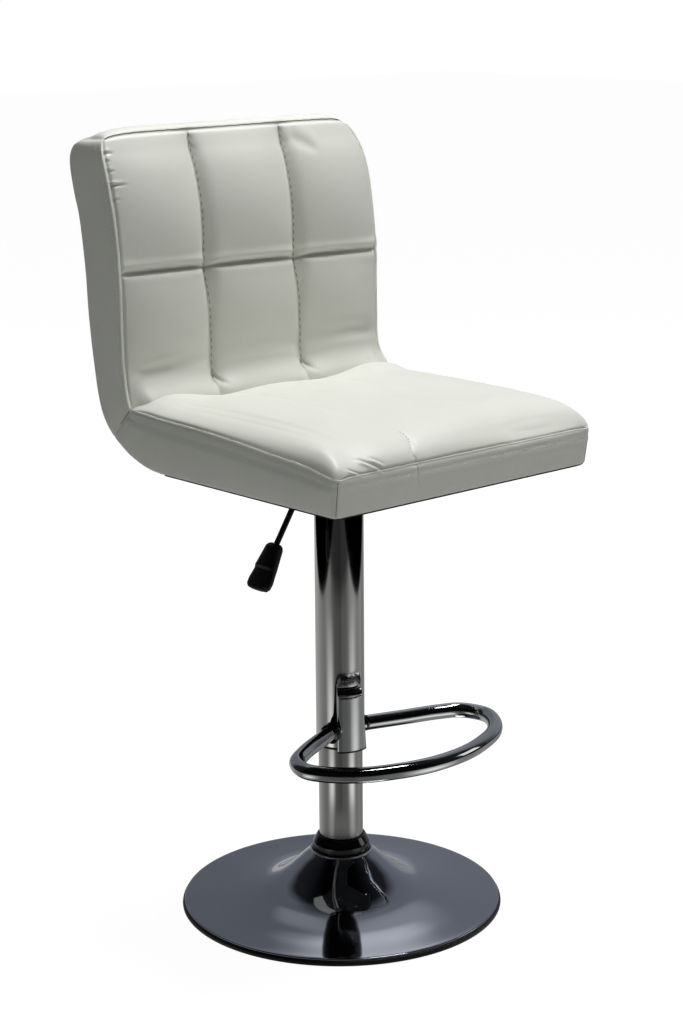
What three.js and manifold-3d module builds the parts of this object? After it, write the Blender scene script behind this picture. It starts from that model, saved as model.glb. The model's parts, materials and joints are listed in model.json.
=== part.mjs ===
// Height-adjustable swivel counter stool with an upholstered L-shaped seat and back,
// a gas-sprung column, a welded footrest loop and a spun trumpet base.
// Millimetres, +Z up. The origin is on the column's axis at floor level.
// The sitter faces -Y and the release lever is on the -X side.

import * as THREE from 'three';
import { mergeVertices } from 'three/addons/utils/BufferGeometryUtils.js';
import Module from 'manifold-3d';

const wasm = await Module();
wasm.setup();

// Shared clearances and overruns
const gap = 0.3;
const overrun = 5;
const weldGap = 0.3;

// Upholstered shell: overall sizes
const shell = {
  halfWidth: 197,
  depth: 447.5,
  frontReach_share: 0.4737,
  undersideZ: 546,
  height: 364,
  seamX: 69,
  plyThickness: 12,
  plySideMargin: 15,
  plyFrontMargin: 12,
  plyTopMargin: 36,
  coverThickness: 4,
  coverSideMargin: 9,
  coverFrontMargin: 8,
  coverTopMargin: 13,
  bendStart_share: 0.648,
  cornerRise: 30,
  dustCoverThickness: 1,
  sideBulge: 2.5,
};
const shellFrontY = -shell.frontReach_share * shell.depth;
const bendStartY = shellFrontY + shell.bendStart_share * shell.depth;

// Seat and back cushions
const seatPad = {
  plateauRise: 73,
  panelCrown: 3,
  edgeRadius: 25,
  weltCornerRadius: 10,
  lowerCornerRadius: 18,
  rollLength: 62,
  frontRise: 2,
};
const backPad = {
  crown: 5,
  panelCrown: 10,
  topCornerLength: 85,
  topCornerInset: 24,
  foldRise: 217,
  topRound: 5,
  topRise: 11,
};

// Column
const standTube = { radius: 26.3, wall: 2, topZ: 391 };
const sleeve = { radius: 28.9, wall: 1, bottomZ: 203, topZ: 515.7 };
const gasTube = { radius: 14, wall: 1.5, bottomZ: 110, topZ: 520, taperLength: 40, taperDrop: 0.8 };
const rod = { radius: 5, neckRadius: 4.2, bottomZ: 11.5, shoulderZ: 27.8, topZ: 303 };
const valvePin = { radius: 2.8, bottomZ: 500.5 };
const valve = { height: 20, boreDepth: 18 };
const rodGuide = { height: 15 };
const piston = { height: 12, nutHeight: 5, nutRadius: 8, grooveDepth: 2, grooveHeight: 3 };
const endPlate = { bottomZ: 16, topZ: 20 };
const bearing = { radius: 12, height: 4.7 };
const buffer = { radius: 11, height: 15 };
const clip = { radius: 7.5, thickness: 1.5 };
const topBush = { length: 35, flange: 3 };
const sleeveGuide = { length: 30, flange: 2.6 };
const sleeveHanger = { height: 9 };

// Base
const base = {
  radius: 192.5,
  ringWidth: 12.5,
  ringHeight: 6.3,
  rimInset: 2.5,
  dishInset: 5.3,
  dishZ: 8.8,
  rimDrop: 2.7,
  neckRadius: 36.5,
  neckZ: 66,
  neckHoleRadius: 31.2,
  beadHeight: 1.3,
  sheet: 1.5,
  plateInset: 42.5,
  plateBottomZ: 3,
};
const baseSocket = { flangeRadius: 50, flangeHeight: 5, wall: 3.5 };
const baseScrews = { count: 4, circleRadius: 42, shankRadius: 3, headRadius: 6, headHeight: 3 };
const collar = { footRadius: 34.3, footHeight: 3.5, shoulderRadius: 32, shoulderRise: 13, topRise: 19 };

// Footrest
const footrest = {
  tubeRadius: 9.1,
  centreZ: 226,
  rightHalfWidth: 144,
  leftHalfWidth: 141.5,
  reach: 181,
  faceRadius: 34.4,
  leftAngle: -49,
  rightTopAngle: 3,
  rightFootAngle: 20,
  bottomZ: 200,
  shoulderZ: 266,
  topZ: 277,
  sheet: 2.5,
};

// Release lever
const lever = {
  rodRadius: 3.4,
  pivotX: -34,
  axisZ: 530,
  innerX: 3,
  bendX: -51.3,
  slopeDegrees: 57,
  rodEndDrop: 84,
  slotClearance: 2.1,
  gripStartDrop: 68.4,
  gripLength: 57,
  gripHalfWide: 19,
  gripHalfThick: 9.5,
};
const leverPin = { radius: 1.5, headRadius: 4, headThickness: 1.5 };

// Seat plate under the board
const plate = {
  halfX: 100,
  halfY: bendStartY - 6,
  sheet: 2.5,
  cornerRadius: 14,
  boxHalfX: 44,
  boxHalfY: 27,
  boxFloorZ: 516,
  socketRadius: 19,
  socketBottomZ: 480,
  boltInsetX: 18,
  boltInsetY: 16,
};
const seatBolt = { radius: 3, headRadius: 6, headHeight: 4 };
const teeNut = { flangeRadius: 9.5, flangeThickness: 1.5, barrelRadius: 4.6 };

// Facet counts
const facets = { large: 48, medium: 32, small: 20, tiny: 12 };

// Colours and finishes, each used by one kind of material
const finishes = {
  leather: { color: 0xdadbd3, roughness: 0.5, metalness: 0 },
  rearLeather: { color: 0xc9cac3, roughness: 0.5, metalness: 0 },
  chrome: { color: 0x8c8e92, roughness: 0.12, metalness: 1 },
  satinChrome: { color: 0x9a9b9d, roughness: 0.25, metalness: 1 },
  steel: { color: 0x777a7e, roughness: 0.45, metalness: 0.9 },
  blackSteel: { color: 0x1b1c1e, roughness: 0.5, metalness: 0.4 },
  castIron: { color: 0x3a3b3d, roughness: 0.8, metalness: 0.5 },
  blackPlastic: { color: 0x121214, roughness: 0.45, metalness: 0 },
  rubber: { color: 0x17171a, roughness: 0.85, metalness: 0 },
  brass: { color: 0xb08d4a, roughness: 0.35, metalness: 0.9 },
  plywood: { color: 0xc8a878, roughness: 0.8, metalness: 0 },
  blackCloth: { color: 0x1c1c1c, roughness: 0.95, metalness: 0 },
};

const stool = new THREE.Group();

function addPart(name, geometry, finish, parent = stool) {
  const mesh = new THREE.Mesh(geometry, new THREE.MeshStandardMaterial(finishes[finish]));
  mesh.name = name;
  parent.add(mesh);
  return mesh;
}

function addEach(name, geometries, finish) {
  geometries.forEach((geometry, i) => addPart(`${name}_${i + 1}`, geometry, finish));
}

// Solid operations

function positionsOnly(geometry) {
  const bare = new THREE.BufferGeometry();
  bare.setAttribute('position', geometry.getAttribute('position').clone());
  if (geometry.index) bare.setIndex(geometry.index.clone());
  return mergeVertices(bare, 1e-4);
}

function toSolid(geometry) {
  const merged = positionsOnly(geometry);
  return new wasm.Manifold(new wasm.Mesh({
    numProp: 3,
    vertProperties: new Float32Array(merged.getAttribute('position').array),
    triVerts: new Uint32Array(merged.index.array),
  }));
}

function toGeometry(solid) {
  const mesh = solid.getMesh();
  const points = new Float32Array(mesh.numVert * 3);
  for (let i = 0; i < mesh.numVert; i += 1) {
    for (let k = 0; k < 3; k += 1) points[3 * i + k] = mesh.vertProperties[i * mesh.numProp + k];
  }
  const geometry = new THREE.BufferGeometry();
  geometry.setAttribute('position', new THREE.BufferAttribute(points, 3));
  geometry.setIndex(new THREE.BufferAttribute(new Uint32Array(mesh.triVerts), 1));
  return geometry;
}

function cut(geometry, ...tools) {
  let solid = toSolid(geometry);
  for (const tool of tools) solid = solid.subtract(toSolid(tool));
  return toGeometry(solid);
}

function join(...geometries) {
  let solid = toSolid(geometries[0]);
  for (const other of geometries.slice(1)) solid = solid.add(toSolid(other));
  return toGeometry(solid);
}

// Shape helpers

// A closed body from plain lists, with its faces turned to point outwards.
function closedMesh(positions, index) {
  const corner = (i) => new THREE.Vector3().fromArray(positions, 3 * index[i]);
  let volume = 0;
  for (let i = 0; i < index.length; i += 3) {
    volume += corner(i).dot(corner(i + 1).cross(corner(i + 2)));
  }
  if (volume < 0) index.reverse();
  const geometry = new THREE.BufferGeometry();
  geometry.setAttribute('position', new THREE.Float32BufferAttribute(positions, 3));
  geometry.setIndex(index);
  return geometry;
}

// Revolves a closed outline of [radius, z] pairs about the column's axis.
function revolve(outline, sides) {
  const points = outline.map(([r, z]) => new THREE.Vector2(r, z));
  let area = 0;
  points.forEach((p, i) => {
    const q = points[(i + 1) % points.length];
    area += p.x * q.y - q.x * p.y;
  });
  if (area < 0) points.reverse();
  if (points[0].x > 0 || points[points.length - 1].x > 0) points.push(points[0].clone());
  return new THREE.LatheGeometry(points, sides).rotateX(Math.PI / 2);
}

function washer(inner, outer, bottomZ, topZ, sides) {
  return revolve([[inner, bottomZ], [outer, bottomZ], [outer, topZ], [inner, topZ]], sides);
}

function disc(radius, bottomZ, topZ, sides) {
  return revolve([[0, bottomZ], [radius, bottomZ], [radius, topZ], [0, topZ]], sides);
}

function hexNut(bore, cornerRadius, bottomZ, topZ) {
  const hole = disc(bore, bottomZ - overrun, topZ + overrun, facets.small);
  return cut(disc(cornerRadius, bottomZ, topZ, 6), hole);
}

function block(halfX, halfY, bottomZ, topZ) {
  const box = new THREE.BoxGeometry(2 * halfX, 2 * halfY, topZ - bottomZ);
  return box.translate(0, 0, (bottomZ + topZ) / 2);
}

function roundedRectangle(halfX, halfY, radius) {
  const shape = new THREE.Shape();
  shape.moveTo(radius - halfX, -halfY);
  shape.lineTo(halfX - radius, -halfY);
  shape.absarc(halfX - radius, radius - halfY, radius, -Math.PI / 2, 0);
  shape.absarc(halfX - radius, halfY - radius, radius, 0, Math.PI / 2);
  shape.absarc(radius - halfX, halfY - radius, radius, Math.PI / 2, Math.PI);
  shape.absarc(radius - halfX, radius - halfY, radius, Math.PI, 1.5 * Math.PI);
  return shape;
}

function slab(shape, bottomZ, topZ, curveSegments = 5) {
  const options = { depth: topZ - bottomZ, bevelEnabled: false, curveSegments };
  return new THREE.ExtrudeGeometry(shape, options).translate(0, 0, bottomZ);
}

function polygonShape(radius, sides) {
  const points = [];
  for (let i = 0; i < sides; i += 1) {
    const angle = (2 * Math.PI * i) / sides;
    points.push(new THREE.Vector2(radius * Math.cos(angle), radius * Math.sin(angle)));
  }
  return new THREE.Shape(points);
}

function tubeAlong(path, radius, sides, steps) {
  const options = { extrudePath: path, steps, bevelEnabled: false };
  return new THREE.ExtrudeGeometry(polygonShape(radius, sides), options);
}

// Moves each point of an open outline sideways by a distance, to its left for positive values.
function offsetOutline(points, distance) {
  return points.map((p, i) => {
    const before = points[Math.max(i - 1, 0)];
    const after = points[Math.min(i + 1, points.length - 1)];
    const first = new THREE.Vector2(p[0] - before[0], p[1] - before[1]);
    const last = new THREE.Vector2(after[0] - p[0], after[1] - p[1]);
    if (first.lengthSq() === 0) first.copy(last);
    if (last.lengthSq() === 0) last.copy(first);
    first.normalize();
    last.normalize();
    const normal = new THREE.Vector2(-(first.y + last.y), first.x + last.x).normalize();
    const stretch = normal.x * -first.y + normal.y * first.x;
    return [p[0] + (normal.x * distance) / stretch, p[1] + (normal.y * distance) / stretch];
  });
}

function splinePoints(points, count) {
  const curve = new THREE.SplineCurve(points.map(([x, y]) => new THREE.Vector2(x, y)));
  return curve.getSpacedPoints(count).map((p) => [p.x, p.y]);
}

// Upholstered shell

// The outer side profile runs from the seat's front edge under the seat, round the bend and
// up the back, as shares of the shell's depth and height.
const outerProfile_shares = [
  [0, 0], [0.3, 0], [0.6, 0], [0.65, 0], [0.7, 0.005], [0.75, 0.021], [0.802, 0.048], [0.866, 0.104],
  [0.903, 0.18], [0.925, 0.316], [0.94, 0.456], [0.948, 0.602], [0.966, 0.758], [0.984, 0.832],
  [0.9975, 0.904], [0.9985, 0.95], [0.984, 0.986], [0.955, 1.006],
];
// The seat's upper seam line, from the front edge to the corner where seat and back meet.
const seatSeam_shares = [
  [-0.0055, 0.1115], [0.05, 0.1185], [0.12, 0.1305], [0.228, 0.14], [0.337, 0.1525], [0.49, 0.1648],
  [0.626, 0.1703], [0.735, 0.1723], [0.771, 0.1786],
];
// The back's front seam line, from that corner to the top edge.
const backSeam_shares = [
  [0.771, 0.1786], [0.7835, 0.217], [0.791, 0.261], [0.797, 0.335], [0.7985, 0.45], [0.8, 0.602],
  [0.8165, 0.765], [0.8395, 0.893], [0.854, 0.975], [0.855, 1.011],
];
const shellBends = 48;
const bendMargin_share = 0.004;

function inShell([depthShare, heightShare]) {
  return [shellFrontY + depthShare * shell.depth, shell.undersideZ + heightShare * shell.height];
}

function profileCurve(shares) {
  return new THREE.SplineCurve(shares.map((s) => new THREE.Vector2(...inShell(s))));
}

const outerCurve = profileCurve(outerProfile_shares);
const seatSeam = profileCurve(seatSeam_shares);
const backSeam = profileCurve(backSeam_shares);

// Finds the share of the outer curve's length at which its Y or Z first passes a value.
function outerShareWhere(key, value) {
  const steps = 400;
  for (let i = 1; i <= steps; i += 1) {
    if (outerCurve.getPointAt(i / steps)[key] >= value) return i / steps;
  }
  return 1;
}

const cornerOnOuter_share = outerShareWhere('y', shell.undersideZ + shell.cornerRise);

// The outer profile between two shares of its length, bent at the same places for every layer.
function outerLine(fromShare, toShare) {
  const shares = [fromShare];
  for (let i = 1; i < shellBends; i += 1) {
    const share = i / shellBends;
    const inside = share > fromShare + bendMargin_share && share < toShare - bendMargin_share;
    if (inside) shares.push(share);
  }
  shares.push(toShare);
  return shares.map((share) => outerCurve.getPointAt(share).toArray());
}

// A strip of constant thickness that follows the outer profile between two depths below it.
function shellStrip(fromShare, toShare, outerDepth, innerDepth, halfWidth) {
  const line = outerLine(fromShare, toShare);
  const outline = [...offsetOutline(line, outerDepth), ...offsetOutline(line, innerDepth).reverse()];
  const shape = new THREE.Shape(outline.map(([y, z]) => new THREE.Vector2(y, z)));
  const strip = new THREE.ExtrudeGeometry(shape, { depth: 2 * halfWidth, bevelEnabled: false });
  const turn = new THREE.Matrix4().makeBasis(
    new THREE.Vector3(0, 1, 0), new THREE.Vector3(0, 0, 1), new THREE.Vector3(1, 0, 0),
  );
  return strip.applyMatrix4(turn).translate(-halfWidth, 0, 0);
}

// How far in an end's inner ring lies, and how much of the end's rise it has.
const endInset_share = 0.6;
const endShoulder_share = 0.8;

// A rise that is zero at both ends of 0 to 1 and full in the middle.
function pillow(t) {
  return Math.sin(Math.PI * Math.min(Math.max(t, 0), 1)) ** 0.62;
}

// A quarter-round rise from 0 at the edge to 1 at the given distance from it.
function quarterRound(distance, radius) {
  return Math.sqrt(1 - (1 - Math.min(distance / radius, 1)) ** 2);
}

// How far a rounded corner draws the side in, at a distance from the end.
function cornerInset(distance, length, inset = length) {
  return inset * (1 - quarterRound(distance, length));
}

// The X places across a cushion's face, with an equal number of steps in each of three panels.
function faceColumns(halfWidth, perPanel) {
  const columns = [];
  const edges = [-halfWidth, -shell.seamX, shell.seamX, halfWidth];
  for (let panel = 0; panel < 3; panel += 1) {
    for (let i = 0; i < perPanel; i += 1) {
      const t = (1 - Math.cos((Math.PI * i) / perPanel)) / 2;
      const x = edges[panel] + (edges[panel + 1] - edges[panel]) * t;
      columns.push({ x, acrossPanel: i / perPanel, across: (x + halfWidth) / (2 * halfWidth) });
    }
  }
  columns.push({ x: halfWidth, acrossPanel: 0, across: 1 });
  return columns;
}

// Sweeps a closed section along a list of stations. Each station has its point on the outer
// profile, its point on the seam line, a half width at each of them and a function for the
// face's rise. The first end is crowned forwards and the last end upwards, by the given rises.
function sweepCushion(stations, perPanel, sideSteps, firstRise, lastRise) {
  const positions = [];
  const index = [];
  const rings = stations.map((station) => {
    const { outer, seam, outerHalf, seamHalf, rise } = station;
    const out = new THREE.Vector2().subVectors(seam, outer);
    const normal = out.clone().normalize();
    const ring = [];
    const push = (x, level, extra) => {
      ring.push(positions.length / 3);
      const move = out.clone().multiplyScalar(level).addScaledVector(normal, extra);
      positions.push(x, outer.x + move.x, outer.y + move.y);
    };
    const sideAt = (t) => seamHalf + (outerHalf - seamHalf) * t + station.bulge * Math.sin(Math.PI * t);
    const columns = faceColumns(seamHalf, perPanel);
    columns.forEach((column) => push(column.x, 1, rise(column)));
    for (let i = 1; i < sideSteps; i += 1) push(sideAt(i / sideSteps), 1 - i / sideSteps, 0);
    [1, 0.5, 0, -0.5, -1].forEach((side) => push(side * outerHalf, 0, 0));
    for (let i = sideSteps - 1; i > 0; i -= 1) push(-sideAt(i / sideSteps), 1 - i / sideSteps, 0);
    return ring;
  });
  const size = rings[0].length;
  for (let s = 0; s + 1 < rings.length; s += 1) {
    for (let i = 0; i < size; i += 1) {
      const j = (i + 1) % size;
      const [a, b, c, d] = [rings[s][i], rings[s][j], rings[s + 1][j], rings[s + 1][i]];
      index.push(a, b, c, a, c, d);
    }
  }
  const middleOf = ({ outer, seam }) => new THREE.Vector3(0, (outer.x + seam.x) / 2, (outer.y + seam.y) / 2);
  // Closes an end with a ring set in from its edge and a centre, both raised outwards.
  const closeEnd = (at, direction, rise, flip) => {
    const centre = middleOf(stations[at]);
    const inward = (stations[at].outer.distanceTo(stations[at].seam) / 2) * endInset_share;
    const inner = rings[at].map((i) => {
      const p = new THREE.Vector3().fromArray(positions, 3 * i);
      const q = p.clone().lerp(centre, endInset_share);
      q.x = p.x * (1 - inward / stations[at].seamHalf);
      positions.push(...q.addScaledVector(direction, rise * endShoulder_share).toArray());
      return positions.length / 3 - 1;
    });
    const middle = positions.length / 3;
    positions.push(...centre.addScaledVector(direction, rise).toArray());
    for (let i = 0; i < size; i += 1) {
      const j = (i + 1) % size;
      const [edgeHere, edgeNext] = [rings[at][i], rings[at][j]];
      const faces = [
        edgeHere, edgeNext, inner[j], edgeHere, inner[j], inner[i], inner[i], inner[j], middle,
      ];
      if (flip) faces.reverse();
      index.push(...faces);
    }
  };
  closeEnd(0, new THREE.Vector3(0, -1, 0), firstRise, true);
  closeEnd(rings.length - 1, new THREE.Vector3(0, 0, 1), lastRise, false);
  return closedMesh(positions, index);
}

// Moves a station's two points towards each other, to round the edges at a cushion's end.
function tightened(outer, seam, outerInset, seamInset) {
  const along = new THREE.Vector2().subVectors(seam, outer).normalize();
  return {
    outer: outer.clone().addScaledVector(along, outerInset),
    seam: seam.clone().addScaledVector(along, -seamInset),
  };
}

function seatCushionBody() {
  const length = seatSeam.getLength();
  const { weltCornerRadius, lowerCornerRadius } = seatPad;
  const front_shares = [0, 0.004, 0.013, 0.027, 0.055];
  const rest = 15;
  const shares = [...front_shares];
  for (let i = 1; i <= rest; i += 1) {
    shares.push(front_shares[4] + ((1 - front_shares[4]) * i) / rest);
  }
  const stations = shares.map((share) => {
    const distance = share * length;
    const outer = outerCurve.getPointAt(share * cornerOnOuter_share);
    const seam = seatSeam.getPointAt(share);
    const fade = 1 - Math.max(0, (share - 0.9) / 0.1) ** 2;
    const envelope = quarterRound(distance, seatPad.rollLength) * fade;
    const crown = shell.undersideZ + seatPad.plateauRise - seam.y;
    const rise = ({ x, acrossPanel }) => {
      const edge = quarterRound(Math.max(shell.halfWidth - Math.abs(x), 0), seatPad.edgeRadius);
      return envelope * edge * (crown + seatPad.panelCrown * pillow(acrossPanel));
    };
    return {
      outer, seam, rise,
      seamHalf: shell.halfWidth - cornerInset(distance, weltCornerRadius),
      outerHalf: shell.halfWidth - cornerInset(distance, lowerCornerRadius),
      bulge: shell.sideBulge * Math.min(distance / lowerCornerRadius, 1) * Math.min((1 - share) / 0.05, 1),
    };
  });
  return sweepCushion(stations, 7, 3, seatPad.frontRise, 0);
}

function backCushionBody() {
  const length = backSeam.getLength();
  const steps = 400;
  let fold = 0;
  for (let i = 0; i <= steps; i += 1) {
    if (backSeam.getPointAt(i / steps).y <= shell.undersideZ + backPad.foldRise) fold = i / steps;
  }
  const lower = 9;
  const upper = 8;
  const shares = [];
  for (let i = 0; i <= lower; i += 1) shares.push((fold * i) / lower);
  for (let i = 1; i <= upper; i += 1) shares.push(fold + ((0.955 - fold) * i) / upper);
  const topEdge_shares = [0.972, 0.986, 0.995, 1];
  shares.push(...topEdge_shares);
  const { topCornerLength, topCornerInset } = backPad;
  const stations = shares.map((share) => {
    const distance = (1 - share) * length;
    const along = share <= fold ? share / fold : (share - fold) / (1 - fold);
    const rise = ({ acrossPanel, across }) => {
      const edge = pillow(across) ** 0.6;
      const envelope = backPad.crown * pillow(share) ** 0.5 * edge * pillow(along) ** 0.4;
      return envelope + backPad.panelCrown * pillow(acrossPanel) * pillow(along) ** 0.9;
    };
    const round = cornerInset(distance, backPad.topRound);
    const outerShare = cornerOnOuter_share + (1 - cornerOnOuter_share) * share;
    const ends = tightened(outerCurve.getPointAt(outerShare), backSeam.getPointAt(share), round, 0);
    const half = shell.halfWidth - cornerInset(distance, topCornerLength, topCornerInset);
    return {
      ...ends, rise,
      seamHalf: half,
      outerHalf: half,
      bulge: shell.sideBulge * Math.min(distance / topCornerLength, 1) * Math.min(share / 0.05, 1),
    };
  });
  return sweepCushion(stations, 7, 3, 0, backPad.topRise);
}

// The two cushions part on the diagonal from the inner corner to the outer bend.
function cornerWedge(sign) {
  const inner = seatSeam.getPointAt(1);
  const outer = outerCurve.getPointAt(cornerOnOuter_share);
  const along = new THREE.Vector2().subVectors(outer, inner).normalize();
  const normal = new THREE.Vector2(-along.y, along.x).multiplyScalar(sign);
  return { inner, outer, along, normal };
}

const plyTop = shell.coverThickness + gap + shell.plyThickness;
const plyUnderside = shell.coverThickness + gap;
const plyHalfWidth = shell.halfWidth - shell.plySideMargin;
const coverHalfWidth = shell.halfWidth - shell.coverSideMargin;
const outerLength = outerCurve.getLength();
const plyFrom = shell.plyFrontMargin / outerLength;
const plyTo = Math.floor((1 - shell.plyTopMargin / outerLength) * shellBends) / shellBends;
const coverFrom = outerShareWhere('x', bendStartY);
const coverTo = 1 - shell.coverTopMargin / outerLength;
const pocketFrom = shell.coverFrontMargin / outerLength;
const boardBottomZ = shell.undersideZ + plyUnderside;
const boardTopZ = shell.undersideZ + plyTop;
const flangeTopZ = boardBottomZ - shell.dustCoverThickness - 2 * gap;

function boardPocket() {
  const from = plyFrom - gap / outerLength;
  const to = plyTo + gap / outerLength;
  return shellStrip(from, to, shell.coverThickness, plyTop + gap, plyHalfWidth + gap);
}

function coverPocket() {
  const to = coverTo + gap / outerLength;
  return shellStrip(pocketFrom, to, -overrun, plyUnderside, coverHalfWidth + gap);
}

const boltX = plate.halfX - plate.boltInsetX;
const boltY = plate.halfY - plate.boltInsetY;
const boltPlaces = [[-1, -1], [1, -1], [1, 1], [-1, 1]].map(([x, y]) => [x * boltX, y * boltY]);

function atBolts(make) {
  return boltPlaces.map(([x, y]) => make().translate(x, y, 0));
}

function teeNutGeometry(bore) {
  const bottom = boardTopZ - shell.plyThickness + gap;
  const step = boardTopZ + gap;
  const top = step + teeNut.flangeThickness;
  const { barrelRadius, flangeRadius } = teeNut;
  return revolve([
    [bore, bottom], [barrelRadius, bottom], [barrelRadius, step],
    [flangeRadius, step], [flangeRadius, top], [bore, top],
  ], facets.tiny);
}

function teeNutRecess() {
  const topZ = boardTopZ + gap + teeNut.flangeThickness + gap;
  return disc(teeNut.flangeRadius + gap, boardTopZ, topZ, facets.tiny);
}

function boltHole(radius) {
  return disc(radius, flangeTopZ - overrun, boardTopZ + overrun, facets.tiny);
}

function buildUpholstery() {
  const half = gap / 2;
  const seat = seatCushionBody();
  const back = backCushionBody();
  const { along, normal, inner, outer } = cornerWedge(1);
  const reach = shell.depth;
  const wedge = (side) => {
    const shift = normal.clone().multiplyScalar(side * -half);
    const start = new THREE.Vector2().copy(inner).addScaledVector(along, -reach).add(shift);
    const end = new THREE.Vector2().copy(outer).addScaledVector(along, reach).add(shift);
    const corners = [
      start, end,
      end.clone().addScaledVector(normal, side * reach), start.clone().addScaledVector(normal, side * reach),
    ];
    if (side < 0) corners.reverse();
    const shape = new THREE.Shape(corners);
    const turn = new THREE.Matrix4().makeBasis(
      new THREE.Vector3(0, 1, 0), new THREE.Vector3(0, 0, 1), new THREE.Vector3(1, 0, 0),
    );
    const body = new THREE.ExtrudeGeometry(shape, { depth: 2 * reach, bevelEnabled: false });
    return body.applyMatrix4(turn).translate(-reach, 0, 0);
  };
  const recesses = atBolts(teeNutRecess);
  addPart('seat_cushion', cut(seat, wedge(1), boardPocket(), coverPocket(), ...recesses), 'leather');
  addPart('back_cushion', cut(back, wedge(-1), boardPocket(), coverPocket()), 'leather');
  const rear = shellStrip(coverFrom + gap / outerLength, coverTo, 0, shell.coverThickness, coverHalfWidth);
  addPart('rear_cover', rear, 'rearLeather');
}

function buildBoard() {
  const strip = shellStrip(plyFrom, plyTo, plyUnderside, plyTop, plyHalfWidth);
  const holes = atBolts(() => boltHole(teeNut.barrelRadius + gap));
  addPart('seat_board', cut(strip, ...holes), 'plywood');
}

function buildDustCover() {
  const frontY = shellFrontY + shell.coverFrontMargin + gap;
  const halfY = (bendStartY - gap - frontY) / 2;
  const shape = roundedRectangle(coverHalfWidth - gap, halfY, shell.coverFrontMargin);
  const top = boardBottomZ - gap;
  const sheet = slab(shape, top - shell.dustCoverThickness, top).translate(0, frontY + halfY, 0);
  addPart('dust_cover', cut(sheet, ...atBolts(() => boltHole(seatBolt.radius + 2 * gap))), 'blackCloth');
}

// Seat plate, fasteners and lever pivot

const flangeBottomZ = flangeTopZ - plate.sheet;
const boxFloorTopZ = plate.boxFloorZ + plate.sheet;

function taperedTubeOutline(grow) {
  const start = gasTube.topZ - gasTube.taperLength;
  return { start, lower: gasTube.radius + grow, upper: gasTube.radius - gasTube.taperDrop + grow };
}

function buildSeatPlate() {
  const outline = roundedRectangle(plate.halfX, plate.halfY, plate.cornerRadius);
  const flange = slab(outline, flangeBottomZ, flangeTopZ);
  const body = block(plate.boxHalfX, plate.boxHalfY, plate.boxFloorZ, flangeTopZ);
  const hollow = block(
    plate.boxHalfX - plate.sheet, plate.boxHalfY - plate.sheet, boxFloorTopZ, flangeTopZ + overrun,
  );
  const socket = disc(plate.socketRadius, plate.socketBottomZ, boxFloorTopZ, facets.medium);
  const taper = taperedTubeOutline(gap);
  const bore = revolve([
    [0, plate.socketBottomZ - overrun], [taper.lower, plate.socketBottomZ - overrun],
    [taper.lower, taper.start], [taper.upper, gasTube.topZ], [taper.upper, gasTube.topZ + overrun],
    [0, gasTube.topZ + overrun],
  ], facets.medium);
  const slotHalf = lever.rodRadius + lever.slotClearance;
  const slot = new THREE.BoxGeometry(2 * overrun, 2 * slotHalf, 2 * slotHalf + lever.rodRadius)
    .translate(-plate.boxHalfX, 0, lever.axisZ);
  const pivot = new THREE.CylinderGeometry(
    leverPin.radius + gap, leverPin.radius + gap, 2 * (plate.boxHalfY + overrun), facets.tiny,
  ).translate(lever.pivotX, 0, lever.axisZ);
  const holes = atBolts(() => boltHole(seatBolt.radius + gap));
  const raw = join(cut(join(flange, body), hollow), socket);
  addPart('seat_plate', cut(raw, bore, slot, pivot, ...holes), 'blackSteel');
}

function buildSeatFasteners() {
  const headTop = flangeBottomZ - gap;
  const tip = boardTopZ + gap;
  const bolt = () => revolve([
    [0, headTop - seatBolt.headHeight], [seatBolt.headRadius, headTop - seatBolt.headHeight],
    [seatBolt.headRadius, headTop],
    [seatBolt.radius, headTop], [seatBolt.radius, tip], [0, tip],
  ], facets.tiny);
  addEach('seat_bolt', atBolts(bolt), 'steel');
  addEach('tee_nut', atBolts(() => teeNutGeometry(seatBolt.radius + gap)), 'steel');
}

function buildLeverPin() {
  const half = plate.boxHalfY + gap;
  const end = half + leverPin.headThickness;
  const { radius, headRadius } = leverPin;
  const outline = [
    [0, -end], [headRadius, -end], [headRadius, -half], [radius, -half],
    [radius, half], [headRadius, half], [headRadius, end], [0, end],
  ];
  const pin = revolve(outline, facets.tiny).rotateX(Math.PI / 2);
  addPart('lever_pin', pin.translate(lever.pivotX, 0, lever.axisZ), 'steel');
}

// Release lever

const leverSlope = THREE.MathUtils.degToRad(lever.slopeDegrees);
const leverDirection = new THREE.Vector3(-Math.cos(leverSlope), 0, -Math.sin(leverSlope));
const leverElbow = new THREE.Vector3(lever.bendX, 0, lever.axisZ);
const bendReach = 3 * lever.rodRadius;

function leverPoint(drop) {
  return leverElbow.clone().addScaledVector(leverDirection, drop / Math.sin(leverSlope));
}

function buildLeverRod() {
  const path = new THREE.CurvePath();
  const before = new THREE.Vector3(lever.bendX + bendReach, 0, lever.axisZ);
  const after = leverElbow.clone().addScaledVector(leverDirection, bendReach);
  path.add(new THREE.LineCurve3(new THREE.Vector3(lever.innerX, 0, lever.axisZ), before));
  path.add(new THREE.QuadraticBezierCurve3(before, leverElbow, after));
  path.add(new THREE.LineCurve3(after, leverPoint(lever.rodEndDrop)));
  const pivotHole = new THREE.CylinderGeometry(
    leverPin.radius + gap, leverPin.radius + gap, 4 * lever.rodRadius, facets.tiny,
  ).translate(lever.pivotX, 0, lever.axisZ);
  addPart('lever_rod', cut(tubeAlong(path, lever.rodRadius, facets.tiny, 14), pivotHole), 'blackSteel');
}

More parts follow.
